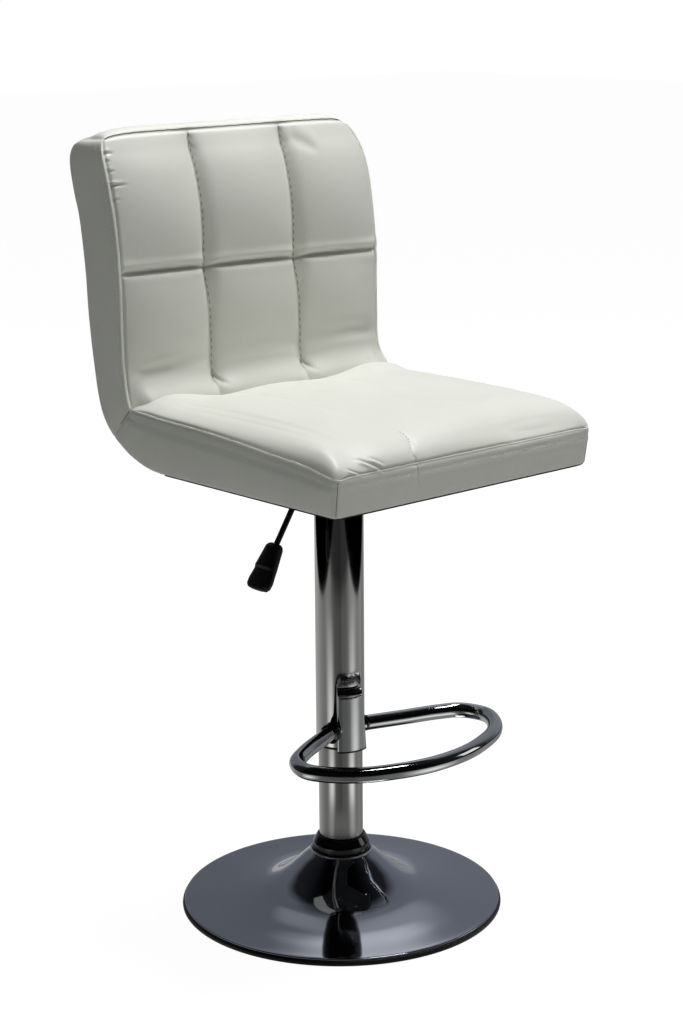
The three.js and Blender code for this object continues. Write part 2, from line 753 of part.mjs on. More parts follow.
// The grip is a flat paddle that widens to its end, with a finger step on its underside.
function buildLeverGrip() {
  const along_shares = [0, 0.03, 0.09, 0.3, 0.52, 0.58, 0.8, 0.92, 0.98, 1];
  const halfWide_shares = [0.38, 0.5, 0.6, 0.71, 0.83, 0.86, 1, 0.97, 0.8, 0.5];
  const outside_shares = [0.4, 0.65, 0.8, 0.9, 1, 1, 1, 0.95, 0.75, 0.4];
  const underside_shares = [0.45, 0.8, 1, 1, 1, 0.64, 0.6, 0.55, 0.42, 0.3];
  const start = leverPoint(lever.gripStartDrop);
  const across = new THREE.Vector3(0, 1, 0);
  const under = new THREE.Vector3().crossVectors(across, leverDirection).normalize();
  const positions = [];
  const index = [];
  const sides = 18;
  const rings = along_shares.length;
  for (let s = 0; s < rings; s += 1) {
    for (let i = 0; i < sides; i += 1) {
      const angle = (2 * Math.PI * i) / sides;
      const thick_share = Math.sin(angle) > 0 ? underside_shares[s] : outside_shares[s];
      const p = start.clone()
        .addScaledVector(leverDirection, along_shares[s] * lever.gripLength)
        .addScaledVector(across, Math.cos(angle) * lever.gripHalfWide * halfWide_shares[s])
        .addScaledVector(under, Math.sin(angle) * lever.gripHalfThick * thick_share);
      positions.push(p.x, p.y, p.z);
    }
  }
  for (let s = 0; s + 1 < rings; s += 1) {
    for (let i = 0; i < sides; i += 1) {
      const j = (i + 1) % sides;
      const [a, b, c, d] = [s * sides + i, s * sides + j, (s + 1) * sides + j, (s + 1) * sides + i];
      index.push(a, b, c, a, c, d);
    }
  }
  for (let i = 1; i + 1 < sides; i += 1) {
    index.push(0, i + 1, i);
    const last = (rings - 1) * sides;
    index.push(last, last + i, last + i + 1);
  }
  const grip = closedMesh(positions, index);
  const hole = new THREE.LineCurve3(
    leverPoint(lever.gripStartDrop - overrun),
    leverPoint(lever.rodEndDrop).addScaledVector(leverDirection, gap),
  );
  addPart('lever_grip', cut(grip, tubeAlong(hole, lever.rodRadius + gap, facets.tiny, 1)), 'blackPlastic');
}

// Gas spring

function buildGasSpring() {
  const taper = taperedTubeOutline(0);
  const bore = gasTube.radius - gasTube.wall;
  const capZ = gasTube.topZ - 4 * gasTube.wall;
  const pinHole = valvePin.radius + gap;
  addPart('pressure_tube', revolve([
    [bore, gasTube.bottomZ], [gasTube.radius, gasTube.bottomZ], [gasTube.radius, taper.start],
    [taper.upper, gasTube.topZ], [pinHole, gasTube.topZ], [pinHole, capZ],
    [taper.upper - gasTube.wall, capZ], [bore, taper.start],
  ], facets.medium), 'satinChrome');

  const valveTop = capZ - gap;
  const valveRadius = taper.upper - gasTube.wall - gap;
  addPart('valve_body', revolve([
    [0, valveTop - valve.height], [valveRadius, valveTop - valve.height], [valveRadius, valveTop],
    [pinHole, valveTop], [pinHole, valveTop - valve.boreDepth], [0, valveTop - valve.boreDepth],
  ], facets.small), 'brass');
  const pinTop = lever.axisZ - lever.rodRadius - gap;
  addPart('valve_pin', disc(valvePin.radius, valvePin.bottomZ, pinTop, facets.tiny), 'steel');

  const inner = bore - gap;
  const rodHole = rod.radius + gap;
  addPart('rod_guide', washer(
    rodHole, inner, gasTube.bottomZ + gap, gasTube.bottomZ + gap + rodGuide.height, facets.small,
  ), 'brass');

  const pistonTop = rod.topZ - piston.nutHeight - gap;
  const pistonBottom = pistonTop - piston.height;
  const grooveLow = (pistonTop + pistonBottom - piston.grooveHeight) / 2;
  const grooveHigh = grooveLow + piston.grooveHeight;
  const grooveRadius = inner - piston.grooveDepth;
  addPart('piston', revolve([
    [rodHole, pistonBottom], [inner - gap, pistonBottom], [inner - gap, grooveLow],
    [grooveRadius, grooveLow], [grooveRadius, grooveHigh], [inner - gap, grooveHigh],
    [inner - gap, pistonTop], [rodHole, pistonTop],
  ], facets.small), 'steel');
  addPart('piston_seal', washer(
    grooveRadius + gap, inner, grooveLow + gap, grooveHigh - gap, facets.small,
  ), 'rubber');
  addPart('piston_nut', hexNut(rodHole, piston.nutRadius, pistonTop + gap, rod.topZ), 'steel');

  addPart('piston_rod', revolve([
    [0, rod.bottomZ], [rod.neckRadius, rod.bottomZ], [rod.neckRadius, rod.shoulderZ],
    [rod.radius, rod.shoulderZ], [rod.radius, rod.topZ], [0, rod.topZ],
  ], facets.small), 'chrome');
}

function buildRodSeat() {
  const neckHole = rod.neckRadius + gap;
  const tubeInner = standTube.radius - standTube.wall;
  const plateDisc = washer(
    neckHole + gap, tubeInner - gap, endPlate.bottomZ, endPlate.topZ, facets.small,
  );
  addPart('end_plate', plateDisc, 'steel');
  const raceTop = endPlate.topZ + gap + bearing.height;
  const raceMiddle = endPlate.topZ + gap + bearing.height / 2;
  const waist = bearing.radius - bearing.height / 4;
  addPart('thrust_bearing', revolve([
    [neckHole + gap, endPlate.topZ + gap], [bearing.radius, endPlate.topZ + gap],
    [bearing.radius, raceMiddle - gap], [waist, raceMiddle], [bearing.radius, raceMiddle + gap],
    [bearing.radius, raceTop], [neckHole + gap, raceTop],
  ], facets.small), 'steel');
  const spacer = washer(neckHole, bearing.radius, raceTop + gap, rod.shoulderZ - gap, facets.small);
  addPart('rod_washer', spacer, 'steel');
  addPart('rod_buffer', washer(
    rod.radius + gap, buffer.radius, rod.shoulderZ, rod.shoulderZ + buffer.height, facets.small,
  ), 'rubber');
  addPart('rod_clip', washer(
    neckHole, clip.radius, endPlate.bottomZ - gap - clip.thickness, endPlate.bottomZ - gap, facets.small,
  ), 'steel');
}

// Column

function buildColumn() {
  const tubeInner = standTube.radius - standTube.wall;
  const tube = washer(
    tubeInner, standTube.radius, standTubeBottomZ, standTube.topZ, facets.large,
  );
  addPart('stand_tube', tube, 'satinChrome');

  const bore = gasTube.radius + gap;
  const flangeZ = standTube.topZ + gap;
  addPart('top_bush', revolve([
    [bore, flangeZ - topBush.length], [tubeInner - gap, flangeZ - topBush.length],
    [tubeInner - gap, flangeZ], [standTube.radius, flangeZ],
    [standTube.radius, flangeZ + topBush.flange], [bore, flangeZ + topBush.flange],
  ], facets.medium), 'blackPlastic');

  const sleeveInner = sleeve.radius - sleeve.wall;
  addPart('sleeve', washer(sleeveInner, sleeve.radius, sleeve.bottomZ, sleeve.topZ, facets.large), 'chrome');
  addPart('sleeve_guide', revolve([
    [standTube.radius + gap, sleeve.bottomZ - gap - sleeveGuide.flange],
    [sleeve.radius, sleeve.bottomZ - gap - sleeveGuide.flange], [sleeve.radius, sleeve.bottomZ - gap],
    [sleeveInner - gap, sleeve.bottomZ - gap], [sleeveInner - gap, sleeve.bottomZ + sleeveGuide.length],
    [standTube.radius + gap, sleeve.bottomZ + sleeveGuide.length],
  ], facets.large), 'blackPlastic');
  addPart('sleeve_hanger', washer(
    plate.socketRadius + gap, sleeveInner - gap, sleeve.topZ - sleeveHanger.height, sleeve.topZ, facets.medium,
  ), 'steel');
}

// Footrest

// A point at a radius from the column's axis, at an angle from the front towards +X.
function aroundFront(radius, degrees, z) {
  const angle = THREE.MathUtils.degToRad(degrees);
  return new THREE.Vector3(radius * Math.sin(angle), -radius * Math.cos(angle), z);
}

// The pressed bracket is a curved face that stands off the sleeve and is closed by a sloped
// shoulder at its top and by a wall on each side. It is lofted between angles, and its right
// edge runs out towards the foot.
function bracketBody(backRadius, inset) {
  const face = footrest.faceRadius - inset;
  const bottomZ = footrest.bottomZ - (inset > 0 ? overrun : 0);
  const shoulderZ = footrest.shoulderZ - inset;
  const faceRows = 6;
  const rows = [];
  for (let i = 0; i <= faceRows; i += 1) {
    rows.push({ z: bottomZ + ((shoulderZ - bottomZ) * i) / faceRows, r: face });
  }
  const topRadius = sleeve.radius + gap + footrest.sheet / 2 - inset / 2;
  rows.push({ z: footrest.topZ - inset, r: topRadius });
  const columns = 14;
  const edgeInset = THREE.MathUtils.radToDeg(inset / footrest.faceRadius);
  const positions = [];
  const index = [];
  const push = (p) => {
    positions.push(p.x, p.y, p.z);
    return positions.length / 3 - 1;
  };
  const grid = rows.map(({ z, r }) => {
    const share = Math.min(Math.max((z - footrest.bottomZ) / (footrest.shoulderZ - footrest.bottomZ), 0), 1);
    const left = footrest.leftAngle + edgeInset;
    const spread = footrest.rightTopAngle - footrest.rightFootAngle;
    const right = footrest.rightFootAngle + spread * share - edgeInset;
    const frontRow = [];
    const backRow = [];
    for (let i = 0; i <= columns; i += 1) {
      const angle = left + ((right - left) * i) / columns;
      frontRow.push(push(aroundFront(r, angle, z)));
      backRow.push(push(aroundFront(backRadius, angle, z)));
    }
    return { frontRow, backRow };
  });
  for (let k = 0; k + 1 < grid.length; k += 1) {
    const [low, high] = [grid[k], grid[k + 1]];
    for (let i = 0; i < columns; i += 1) {
      const quad = (a, b, c, d) => index.push(a, b, c, a, c, d);
      quad(low.frontRow[i], low.frontRow[i + 1], high.frontRow[i + 1], high.frontRow[i]);
      quad(low.backRow[i + 1], low.backRow[i], high.backRow[i], high.backRow[i + 1]);
    }
    index.push(low.backRow[0], low.frontRow[0], high.frontRow[0]);
    index.push(low.backRow[0], high.frontRow[0], high.backRow[0]);
    index.push(low.frontRow[columns], low.backRow[columns], high.backRow[columns]);
    index.push(low.frontRow[columns], high.backRow[columns], high.frontRow[columns]);
  }
  const [bottom, top] = [grid[0], grid[grid.length - 1]];
  for (let i = 0; i < columns; i += 1) {
    index.push(bottom.backRow[i], bottom.backRow[i + 1], bottom.frontRow[i + 1]);
    index.push(bottom.backRow[i], bottom.frontRow[i + 1], bottom.frontRow[i]);
    index.push(top.frontRow[i], top.frontRow[i + 1], top.backRow[i + 1]);
    index.push(top.frontRow[i], top.backRow[i + 1], top.backRow[i]);
  }
  return closedMesh(positions, index);
}

function bracketGeometry() {
  const backRadius = sleeve.radius + gap;
  const outside = bracketBody(backRadius, 0);
  const inside = bracketBody(backRadius - overrun, footrest.sheet);
  return cut(outside, inside);
}

// Half of the loop's centre line from the middle of its front, as shares of the half width
// and of the forward reach. The branches back to the bracket differ a little.
const loopFront_shares = [[0, 1], [0.23, 0.985], [0.46, 0.935], [0.74, 0.83], [0.93, 0.68], [1, 0.545]];
const loopRight_shares = [[0.93, 0.375], [0.76, 0.3], [0.44, 0.23], [0.1, 0.17]];
const loopLeft_shares = [[0.93, 0.4], [0.75, 0.3], [0.44, 0.185], [0.17, 0.1]];

function loopPath() {
  const place = (halfWidth) => ([x, y]) => new THREE.Vector3(
    x * halfWidth, -y * footrest.reach, footrest.centreZ,
  );
  const right = [...loopRight_shares].reverse().map(place(footrest.rightHalfWidth));
  const rightFront = [...loopFront_shares].reverse().map(place(footrest.rightHalfWidth));
  const leftFront = loopFront_shares.slice(1).map(place(-footrest.leftHalfWidth));
  const left = loopLeft_shares.map(place(-footrest.leftHalfWidth));
  return new THREE.CatmullRomCurve3([...right, ...rightFront, ...leftFront, ...left], false, 'centripetal');
}

function buildFootrest() {
  addPart('footrest_bracket', bracketGeometry(), 'chrome');
  const clear = sleeve.radius + weldGap;
  const sleeveRoom = disc(clear, footrest.bottomZ - overrun, footrest.topZ + overrun, facets.large);
  const bracketRoom = bracketBody(0.5 * sleeve.radius, -weldGap);
  const tube = tubeAlong(loopPath(), footrest.tubeRadius, 12, 56);
  addPart('footrest_loop', cut(tube, sleeveRoom, bracketRoom), 'chrome');
}

// Base

// The spun dish from its rim to its neck, as shares of the way in from the rim and up to the neck.
const dish_shares = [
  [0, 0], [0.32, 0.075], [0.58, 0.15], [0.765, 0.225], [0.877, 0.345], [0.94, 0.52], [0.98, 0.76], [1, 1],
];

const dishRadius = base.radius - base.dishInset;

function dishOutline() {
  const inward = dishRadius - base.neckRadius;
  const upward = base.neckZ - base.dishZ;
  const points = dish_shares.map(([r, z]) => [dishRadius - r * inward, base.dishZ + z * upward]);
  return splinePoints(points, 9);
}

function baseOutline() {
  const rim = base.radius - base.rimInset;
  const { rimDrop, beadHeight } = base;
  return [
    [rim - rimDrop / 4, base.ringHeight + gap],
    [rim, base.ringHeight + gap + rimDrop / 3],
    [rim - rimDrop / 4, base.dishZ - rimDrop / 5],
    ...dishOutline(),
    [base.neckRadius - beadHeight / 2, base.neckZ + beadHeight * 0.75],
    [base.neckRadius - 1.5 * beadHeight, base.neckZ + beadHeight],
    [base.neckHoleRadius, base.neckZ + beadHeight],
  ];
}

// The height of the dish's underside at a radius.
function dishUndersideZ(radius) {
  const line = offsetOutline(baseOutline(), base.sheet);
  for (let i = 1; i < line.length; i += 1) {
    const [a, b] = [line[i - 1], line[i]];
    if (a[0] >= radius && b[0] < radius) {
      return a[1] + ((b[1] - a[1]) * (a[0] - radius)) / (a[0] - b[0]);
    }
  }
  return base.dishZ;
}

const plateRadius = base.radius - base.plateInset;
const weightTopZ = dishUndersideZ(plateRadius) - gap;
const standTubeBottomZ = weightTopZ + gap;

function atBaseScrews(make) {
  const list = [];
  for (let i = 0; i < baseScrews.count; i += 1) {
    const p = aroundFront(baseScrews.circleRadius, (360 * (i + 0.5)) / baseScrews.count, 0);
    list.push(make().translate(p.x, p.y, 0));
  }
  return list;
}

function buildBase() {
  const outside = baseOutline();
  const inside = offsetOutline(outside, base.sheet).reverse();
  addPart('base_shell', revolve([...outside, ...inside], facets.large), 'chrome');

  const { radius: outer, ringHeight: height } = base;
  const inner = outer - base.ringWidth;
  addPart('floor_ring', revolve([
    [inner, 0], [outer - height / 5, 0], [outer, height / 5], [outer - height / 12, height * 0.7],
    [outer - height / 3, height], [inner, height],
  ], facets.large), 'rubber');

  const socketInner = standTube.radius + gap;
  const socketBottom = weightTopZ + gap;
  const flangeTop = socketBottom + baseSocket.flangeHeight;
  const socketTop = base.neckZ + base.beadHeight - base.sheet - gap;
  const socket = revolve([
    [socketInner, socketBottom], [baseSocket.flangeRadius, socketBottom], [baseSocket.flangeRadius, flangeTop],
    [socketInner + baseSocket.wall, flangeTop], [socketInner + baseSocket.wall, socketTop], [socketInner, socketTop],
  ], facets.medium);
  const screwHole = () => disc(baseScrews.shankRadius + gap, -overrun, flangeTop + overrun, facets.tiny);
  addPart('base_socket', cut(socket, ...atBaseScrews(screwHole)), 'steel');

  const headRoomTop = base.plateBottomZ + baseScrews.headHeight + 2 * gap;
  const headRoom = () => disc(baseScrews.headRadius + gap, base.plateBottomZ - overrun, headRoomTop, facets.tiny);
  const weight = disc(plateRadius, base.plateBottomZ, weightTopZ, facets.medium);
  addPart('weight_plate', cut(weight, ...atBaseScrews(screwHole), ...atBaseScrews(headRoom)), 'castIron');
  const headBottom = base.plateBottomZ + gap;
  const headTop = headBottom + baseScrews.headHeight;
  const screw = () => revolve([
    [0, headBottom], [baseScrews.headRadius, headBottom], [baseScrews.headRadius, headTop],
    [baseScrews.shankRadius, headTop], [baseScrews.shankRadius, flangeTop], [0, flangeTop],
  ], facets.tiny);
  addEach('base_screw', atBaseScrews(screw), 'steel');

  const collarFoot = base.neckZ + base.beadHeight + gap;
  addPart('neck_collar', revolve([
    [socketInner, collarFoot], [collar.footRadius, collarFoot],
    [collar.footRadius, collarFoot + collar.footHeight],
    [collar.shoulderRadius, collarFoot + collar.shoulderRise],
    [(collar.shoulderRadius + socketInner) / 2, collarFoot + collar.topRise - gap],
    [socketInner, collarFoot + collar.topRise],
  ], facets.large), 'blackPlastic');
}

buildBase();
buildColumn();
buildRodSeat();
buildGasSpring();
buildFootrest();
buildSeatPlate();
buildSeatFasteners();
buildLeverPin();
buildLeverRod();
buildLeverGrip();
buildBoard();
buildDustCover();
buildUpholstery();

export default stool;
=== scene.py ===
"""Dresses the counter stool: upholstery, column, footrest, lever, base and the studio round it.

Sizes in the sub-assemblies are in millimetres, and meshes are written in metres. The column stands
on the origin, +Z is up, the sitter faces -Y and the lever hangs on the -X side.
"""

import json
import logging
import math
from dataclasses import dataclass, field
from enum import Enum
from typing import Callable, NamedTuple, Sequence

import bpy
import numpy as np
from mathutils import Matrix, Vector


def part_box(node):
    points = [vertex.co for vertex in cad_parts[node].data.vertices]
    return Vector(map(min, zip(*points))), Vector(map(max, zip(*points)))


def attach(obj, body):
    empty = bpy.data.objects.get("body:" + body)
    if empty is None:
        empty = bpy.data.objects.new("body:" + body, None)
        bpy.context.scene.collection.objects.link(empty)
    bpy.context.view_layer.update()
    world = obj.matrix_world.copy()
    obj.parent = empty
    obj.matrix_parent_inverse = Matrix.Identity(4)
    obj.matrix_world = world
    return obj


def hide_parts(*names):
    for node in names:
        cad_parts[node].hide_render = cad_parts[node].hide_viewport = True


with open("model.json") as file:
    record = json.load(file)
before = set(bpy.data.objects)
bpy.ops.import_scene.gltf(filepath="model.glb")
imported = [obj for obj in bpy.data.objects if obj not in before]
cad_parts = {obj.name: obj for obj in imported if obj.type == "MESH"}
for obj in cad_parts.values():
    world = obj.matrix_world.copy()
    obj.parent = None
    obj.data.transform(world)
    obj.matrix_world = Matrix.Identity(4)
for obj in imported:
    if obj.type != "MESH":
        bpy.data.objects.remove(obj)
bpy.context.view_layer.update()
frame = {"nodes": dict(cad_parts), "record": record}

LOG = logging.getLogger("counter_stool")
MM = 0.001
SHARP_DEGREES = 38.0
SIDES = ((-1, "left"), (1, "right"))
# A share or a level above this lies on the very edge.
AT_EDGE = 0.999
Point = Sequence[float]
Mesh = tuple[np.ndarray, list[list[int]]]
Tree, Node, Socket = bpy.types.NodeTree, bpy.types.Node, bpy.types.NodeSocket


class Body(Enum):
    """The stool's bodies that move against each other."""

    BASE = "base"
    ROD = "rod"
    SEAT = "seat"
    LEVER = "lever"
    VALVE = "valve"


def linear(colour: str) -> tuple[float, float, float, float]:
    """Turns an sRGB hex colour to linear light.

    Args:
        colour: six hex digits, such as "8f9090".

    Returns:
        Red, green, blue and an alpha of 1.
    """
    values = [int(colour[i:i + 2], 16) / 255 for i in (0, 2, 4)]
    light = [v / 12.92 if v <= 0.04045 else ((v + 0.055) / 1.055) ** 2.4 for v in values]
    return (light[0], light[1], light[2], 1.0)


def add_node(tree: Tree, kind: str, settings: dict | None = None) -> Node:
    """Adds one node, sets it and links its inputs.

    Args:
        tree: the node tree that it goes into.
        kind: the node's type name after "ShaderNode".
        settings: input names or indices and node attributes, each with its value or, for an
            input, with the output socket that it takes.

    Returns:
        The new node.
    """
    node = tree.nodes.new("ShaderNode" + kind)
    for key, value in (settings or {}).items():
        if isinstance(value, Socket):
            tree.links.new(value, node.inputs[key])
        elif isinstance(key, int) or key in node.inputs:
            node.inputs[key].default_value = value
        else:
            setattr(node, key, value)
    return node


def calculate(tree: Tree, operation: str, first: Socket, second: Socket | float = 0.0,
              clamp: bool = False) -> Socket:
    """Works on a socket and a second one or a number.

    Args:
        tree: the node tree.
        operation: the math node's operation.
        first: the first value.
        second: the second value.
        clamp: whether the result is kept between 0 and 1.

    Returns:
        The result.
    """
    return add_node(tree, "Math", {"operation": operation, "use_clamp": clamp, 0: first,
                                   1: second}).outputs[0]


def remap(tree: Tree, value: Socket, start: float, end: float, low: float = 0.0,
          high: float = 1.0, curve: str = "LINEAR") -> Socket:
    """Maps one range of values onto another and stops at its ends.

    Args:
        tree: the node tree.
        value: what is mapped.
        start: the value that gives low.
        end: the value that gives high.
        low: the first result.
        high: the last result.
        curve: how it runs between them.

    Returns:
        The result.
    """
    return add_node(tree, "MapRange", {
        "interpolation_type": curve, "From Min": start, "From Max": end, "To Min": low,
        "To Max": high, "Value": value}).outputs["Result"]


def noise(tree: Tree, place: Socket, size_mm: float, detail: float = 2.0) -> Socket:
    """Gives a soft noise of the given size in millimetres."""
    return add_node(tree, "TexNoise", {"Scale": 1 / (size_mm * MM), "Detail": detail,
                                       "Vector": place}).outputs["Fac"]


def grey_ramp(tree: Tree, factor: Socket, stops: Sequence[Point],
              position: Callable[[float], float]) -> Socket:
    """Lays a ramp of greys over a factor.

    Args:
        tree: the node tree.
        factor: what the ramp runs over, from 0 to 1.
        stops: a place in the caller's own unit and the grey there, in order.
        position: turns such a place into the factor.

    Returns:
        The grey.
    """
    node = add_node(tree, "ValToRGB", {"Fac": factor})
    elements = node.color_ramp.elements
    while len(elements) < len(stops):
        elements.new(0.5)
    for element, (place, grey) in zip(elements, stops):
        element.position = position(place)
        element.color = (grey, grey, grey, 1)
    return node.outputs["Color"]


# Finishes


@dataclass(frozen=True)
class Finish:
    """A surface with colour that drifts in patches, a fine grain and its own gloss."""

    name: str
    colour: str
    shade: str
    roughness: float
    swing: float = 0.05
    patch_mm: float = 40.0
    grain_mm: float = 1.0
    relief_mm: float = 0.01
    metallic: float = 0.0
    ior: float = 1.5

    def material(self) -> bpy.types.Material:
        """Builds the material once and gives the same one after that.

        Returns:
            The material of this finish.
        """
        known = bpy.data.materials.get(self.name)
        if known is not None:
            return known
        material = bpy.data.materials.new(self.name)
        material.use_nodes = True
        tree = material.node_tree
        shader = tree.nodes["Principled BSDF"]
        shader.inputs["Metallic"].default_value = self.metallic
        shader.inputs["IOR"].default_value = self.ior
        self.dress(tree, shader, add_node(tree, "TexCoord").outputs["Object"])
        return material

    def dress(self, tree: Tree, shader: Node, place: Socket) -> None:
        """Links colour, roughness and relief to the shader.

        Args:
            tree: the material's nodes.
            shader: its surface shader.
            place: the point in the object, in metres.
        """
        self.tint(tree, shader, noise(tree, place, self.patch_mm, 3.0))
        self.emboss(tree, shader, self.grain(tree, place))

    def grain(self, tree: Tree, place: Socket) -> Socket:
        """Gives the height of the fine grain, in units of the relief."""
        return noise(tree, place, self.grain_mm)

    def tint(self, tree: Tree, shader: Node, drift: Socket) -> None:
        """Lets colour and roughness follow a drift between 0 and 1.

        Args:
            tree: the material's nodes.
            shader: its surface shader.
            drift: the socket that says where the shade shows.
        """
        colour = add_node(tree, "Mix", {"data_type": "RGBA", 0: drift, 6: linear(self.colour),
                                        7: linear(self.shade)})
        tree.links.new(colour.outputs[2], shader.inputs["Base Color"])
        rough = remap(tree, drift, 0, 1, self.roughness - self.swing, self.roughness + self.swing)
        tree.links.new(rough, shader.inputs["Roughness"])

    def emboss(self, tree: Tree, shader: Node, height: Socket) -> None:
        """Raises the surface by a height map in units of the finish's relief."""
        bump = add_node(tree, "Bump", {"Distance": self.relief_mm * MM, "Strength": 1.0,
                                       "Height": height})
        tree.links.new(bump.outputs["Normal"], shader.inputs["Normal"])


@dataclass(frozen=True)
class Upholstery(Finish):
    """Faux leather: a vinyl skin embossed with fine pebbles over a knitted back."""

    relief_mm: float = 0.12
    wrinkle_mm: float = 9.0
    pebble_mm: float = 1.1
    pebble_relief_mm: float = 0.035

    def grain(self, tree: Tree, place: Socket) -> Socket:
        """Adds pebbles to soft, shallow wrinkles.

        Args:
            tree: the material's nodes.
            place: the point in the object, in metres.

        Returns:
            The height in units of the wrinkles' relief.
        """
        pebbles = add_node(tree, "TexVoronoi", {
            "feature": "SMOOTH_F1", "Scale": 1 / (self.pebble_mm * MM), "Vector": place})
        sunk = calculate(tree, "MULTIPLY", pebbles.outputs["Distance"],
                         -self.pebble_relief_mm / self.relief_mm)
        return calculate(tree, "ADD", noise(tree, place, self.wrinkle_mm), sunk)


@dataclass(frozen=True)
class Plated(Finish):
    """Bright plate over steel, with polishing haze that runs round the part."""

    metallic: float = 1.0
    haze_mm: float = 0.5
    haze_stretch: float = 0.02

    def grain(self, tree: Tree, place: Socket) -> Socket:
        """Draws fine polishing lines as noise that is stretched along the turning."""
        turned = add_node(tree, "Mapping", {
            "Scale": (self.haze_stretch, self.haze_stretch, 1.0), "Vector": place})
        return noise(tree, turned.outputs["Vector"], self.haze_mm)


@dataclass(frozen=True)
class Turned(Finish):
    """Lathe-turned metal with a fine spiral of tool marks."""

    metallic: float = 1.0
    pitch_mm: float = 0.4

    def grain(self, tree: Tree, place: Socket) -> Socket:
        """Draws rings round the part's axis at the tool's pitch."""
        rings = add_node(tree, "TexWave", {
            "wave_type": "RINGS", "rings_direction": "Z", "Distortion": 0.4,
            "Scale": wave_scale(self.pitch_mm), "Vector": place})
        return rings.outputs["Fac"]


@dataclass(frozen=True)
class Laminated(Finish):
    """Bent plywood: thin veneers whose edges show as lines, with grain along the bend."""

    veneer_mm: float = 1.5
    fibre_stretch: float = 0.08

    def dress(self, tree: Tree, shader: Node, place: Socket) -> None:
        """Mixes fibres stretched along the board with the veneers' lines.

        Args:
            tree: the material's nodes.
            shader: its surface shader.
            place: the point in the object, in metres.
        """
        along = add_node(tree, "Mapping", {"Scale": (1.0, self.fibre_stretch, 1.0),
                                           "Vector": place})
        fibres = noise(tree, along.outputs["Vector"], self.grain_mm, 4.0)
        veneers = add_node(tree, "TexWave", {
            "bands_direction": "Z", "Scale": wave_scale(self.veneer_mm), "Distortion": 0.6,
            "Vector": place})
        self.tint(tree, shader, calculate(tree, "MULTIPLY", fibres, veneers.outputs["Fac"]))
        self.emboss(tree, shader, fibres)


def wave_scale(pitch_mm: float) -> float:
    """Gives the scale at which a wave texture repeats at a pitch, by its 20 waves to a turn."""
    return math.tau / (20 * pitch_mm * MM)


# Off-white vinyl: a soft, broad sheen and a grain that only shows close to. The pebbles are drawn
# at 1.1 mm, a little coarser than the real 0.7 mm, so that they show at all.
LEATHER = Upholstery("faux_leather_off_white_embossed", "dfe0d8", "d8d9d0", 0.46, swing=0.04,
                     patch_mm=90)
# The same vinyl on the rear panel, stretched over board: flatter and a touch greyer.
REAR_LEATHER = Upholstery("faux_leather_off_white_stretched", "d6d7cf", "cfd0c8", 0.5, swing=0.03,
                          patch_mm=110, relief_mm=0.06)
# The folded edge of the vinyl at the piped seam: the same vinyl, painted paler as a painted
# highlight along the lip.
LIT_LIP_LEATHER = Upholstery("faux_leather_folded_edge_painted_highlight", "eceee4", "e2e4da", 0.4, swing=0.03,
                         patch_mm=25, relief_mm=0.04)
# Bonded polyester thread, pulled tight: small dull dashes in the seams' ditches, painted grey as
# painted shade of the ditches.
SHADED_DITCH_THREAD = Finish("polyester_thread_painted_shade", "a9aa9e", "96978b", 0.7, patch_mm=6, grain_mm=0.3,
                      relief_mm=0.04)
# The same thread on top of the bands, painted pale as a painted highlight where it catches the
# light.
LIT_BAND_THREAD = Finish("polyester_thread_painted_highlight", "f1f2ea", "e4e5dc", 0.5, patch_mm=6, grain_mm=0.3,
                     relief_mm=0.04)
# Painted seam shade: dark vinyl colour on thin strips laid in the bottom of the tight seams, where
# each seam lies in its own shadow.
SEAM_SHADOW = Finish("faux_leather_painted_seam_shade", "5c5d55", "4c4d46", 0.7, patch_mm=8, grain_mm=0.5,
                     relief_mm=0.03)
# Polished chrome over the spun dish: a deep, cool mirror whose tint is painted darker and bluer
# than the tubes' chrome, as painted dark reflection.
DISH_CHROME = Plated("spun_steel_chrome_painted_dark", "a3a6ad", "9b9ea6", 0.06, swing=0.02, patch_mm=60,
                     relief_mm=0.0015)
# The rolled bead at the neck: brushed by the spinning tool, so it glints from every lamp.
BEAD_CHROME = Plated("spun_steel_rolled_bead", "d2d3d4", "c4c5c7", 0.34, patch_mm=12,
                     relief_mm=0.004)
# Chrome on the upper tube: a clean mirror with a slight warm haze.
SLEEVE_CHROME = Plated("polished_chrome_upper_tube", "c2c2c0", "b9b9b8", 0.075, swing=0.02,
                       patch_mm=50, relief_mm=0.0015)
# Satin chrome on the lower tube: reflections blur to upright bands.
STAND_CHROME = Plated("satin_chrome_lower_tube", "b4b4b2", "a8a8a7", 0.14, swing=0.03, patch_mm=40,
                      relief_mm=0.004)
# Chrome on the footrest: a mirror, dulled a little by scuffs from shoes.
FOOTREST_CHROME = Plated("polished_chrome_footrest", "bcbdbd", "b0b1b1", 0.08, swing=0.035,
                         patch_mm=18, relief_mm=0.002)
# Ground hard chrome on the gas spring's rod: bright, with very fine lines.
ROD_CHROME = Plated("ground_hard_chrome_rod", "c9c9c8", "c0c0c0", 0.12, patch_mm=20,
                    relief_mm=0.002)
# Baked black paint on the gas spring: satin with a slight orange peel.
SPRING_PAINT = Finish("baked_black_paint_satin", "202123", "191a1c", 0.32, patch_mm=20,
                      grain_mm=1.6, relief_mm=0.02)
# Mild steel straight from the lathe: grey with tool marks.
PLAIN_STEEL = Turned("turned_mild_steel", "8d8f92", "7c7e81", 0.38, patch_mm=12, relief_mm=0.01)
# Clear zinc plate: pale and slightly bluish, with mottled brightness.
ZINC = Finish("zinc_plated_steel_screws", "b9bdc4", "a3a7ae", 0.3, swing=0.08, patch_mm=5,
              grain_mm=0.6, relief_mm=0.01, metallic=1.0)
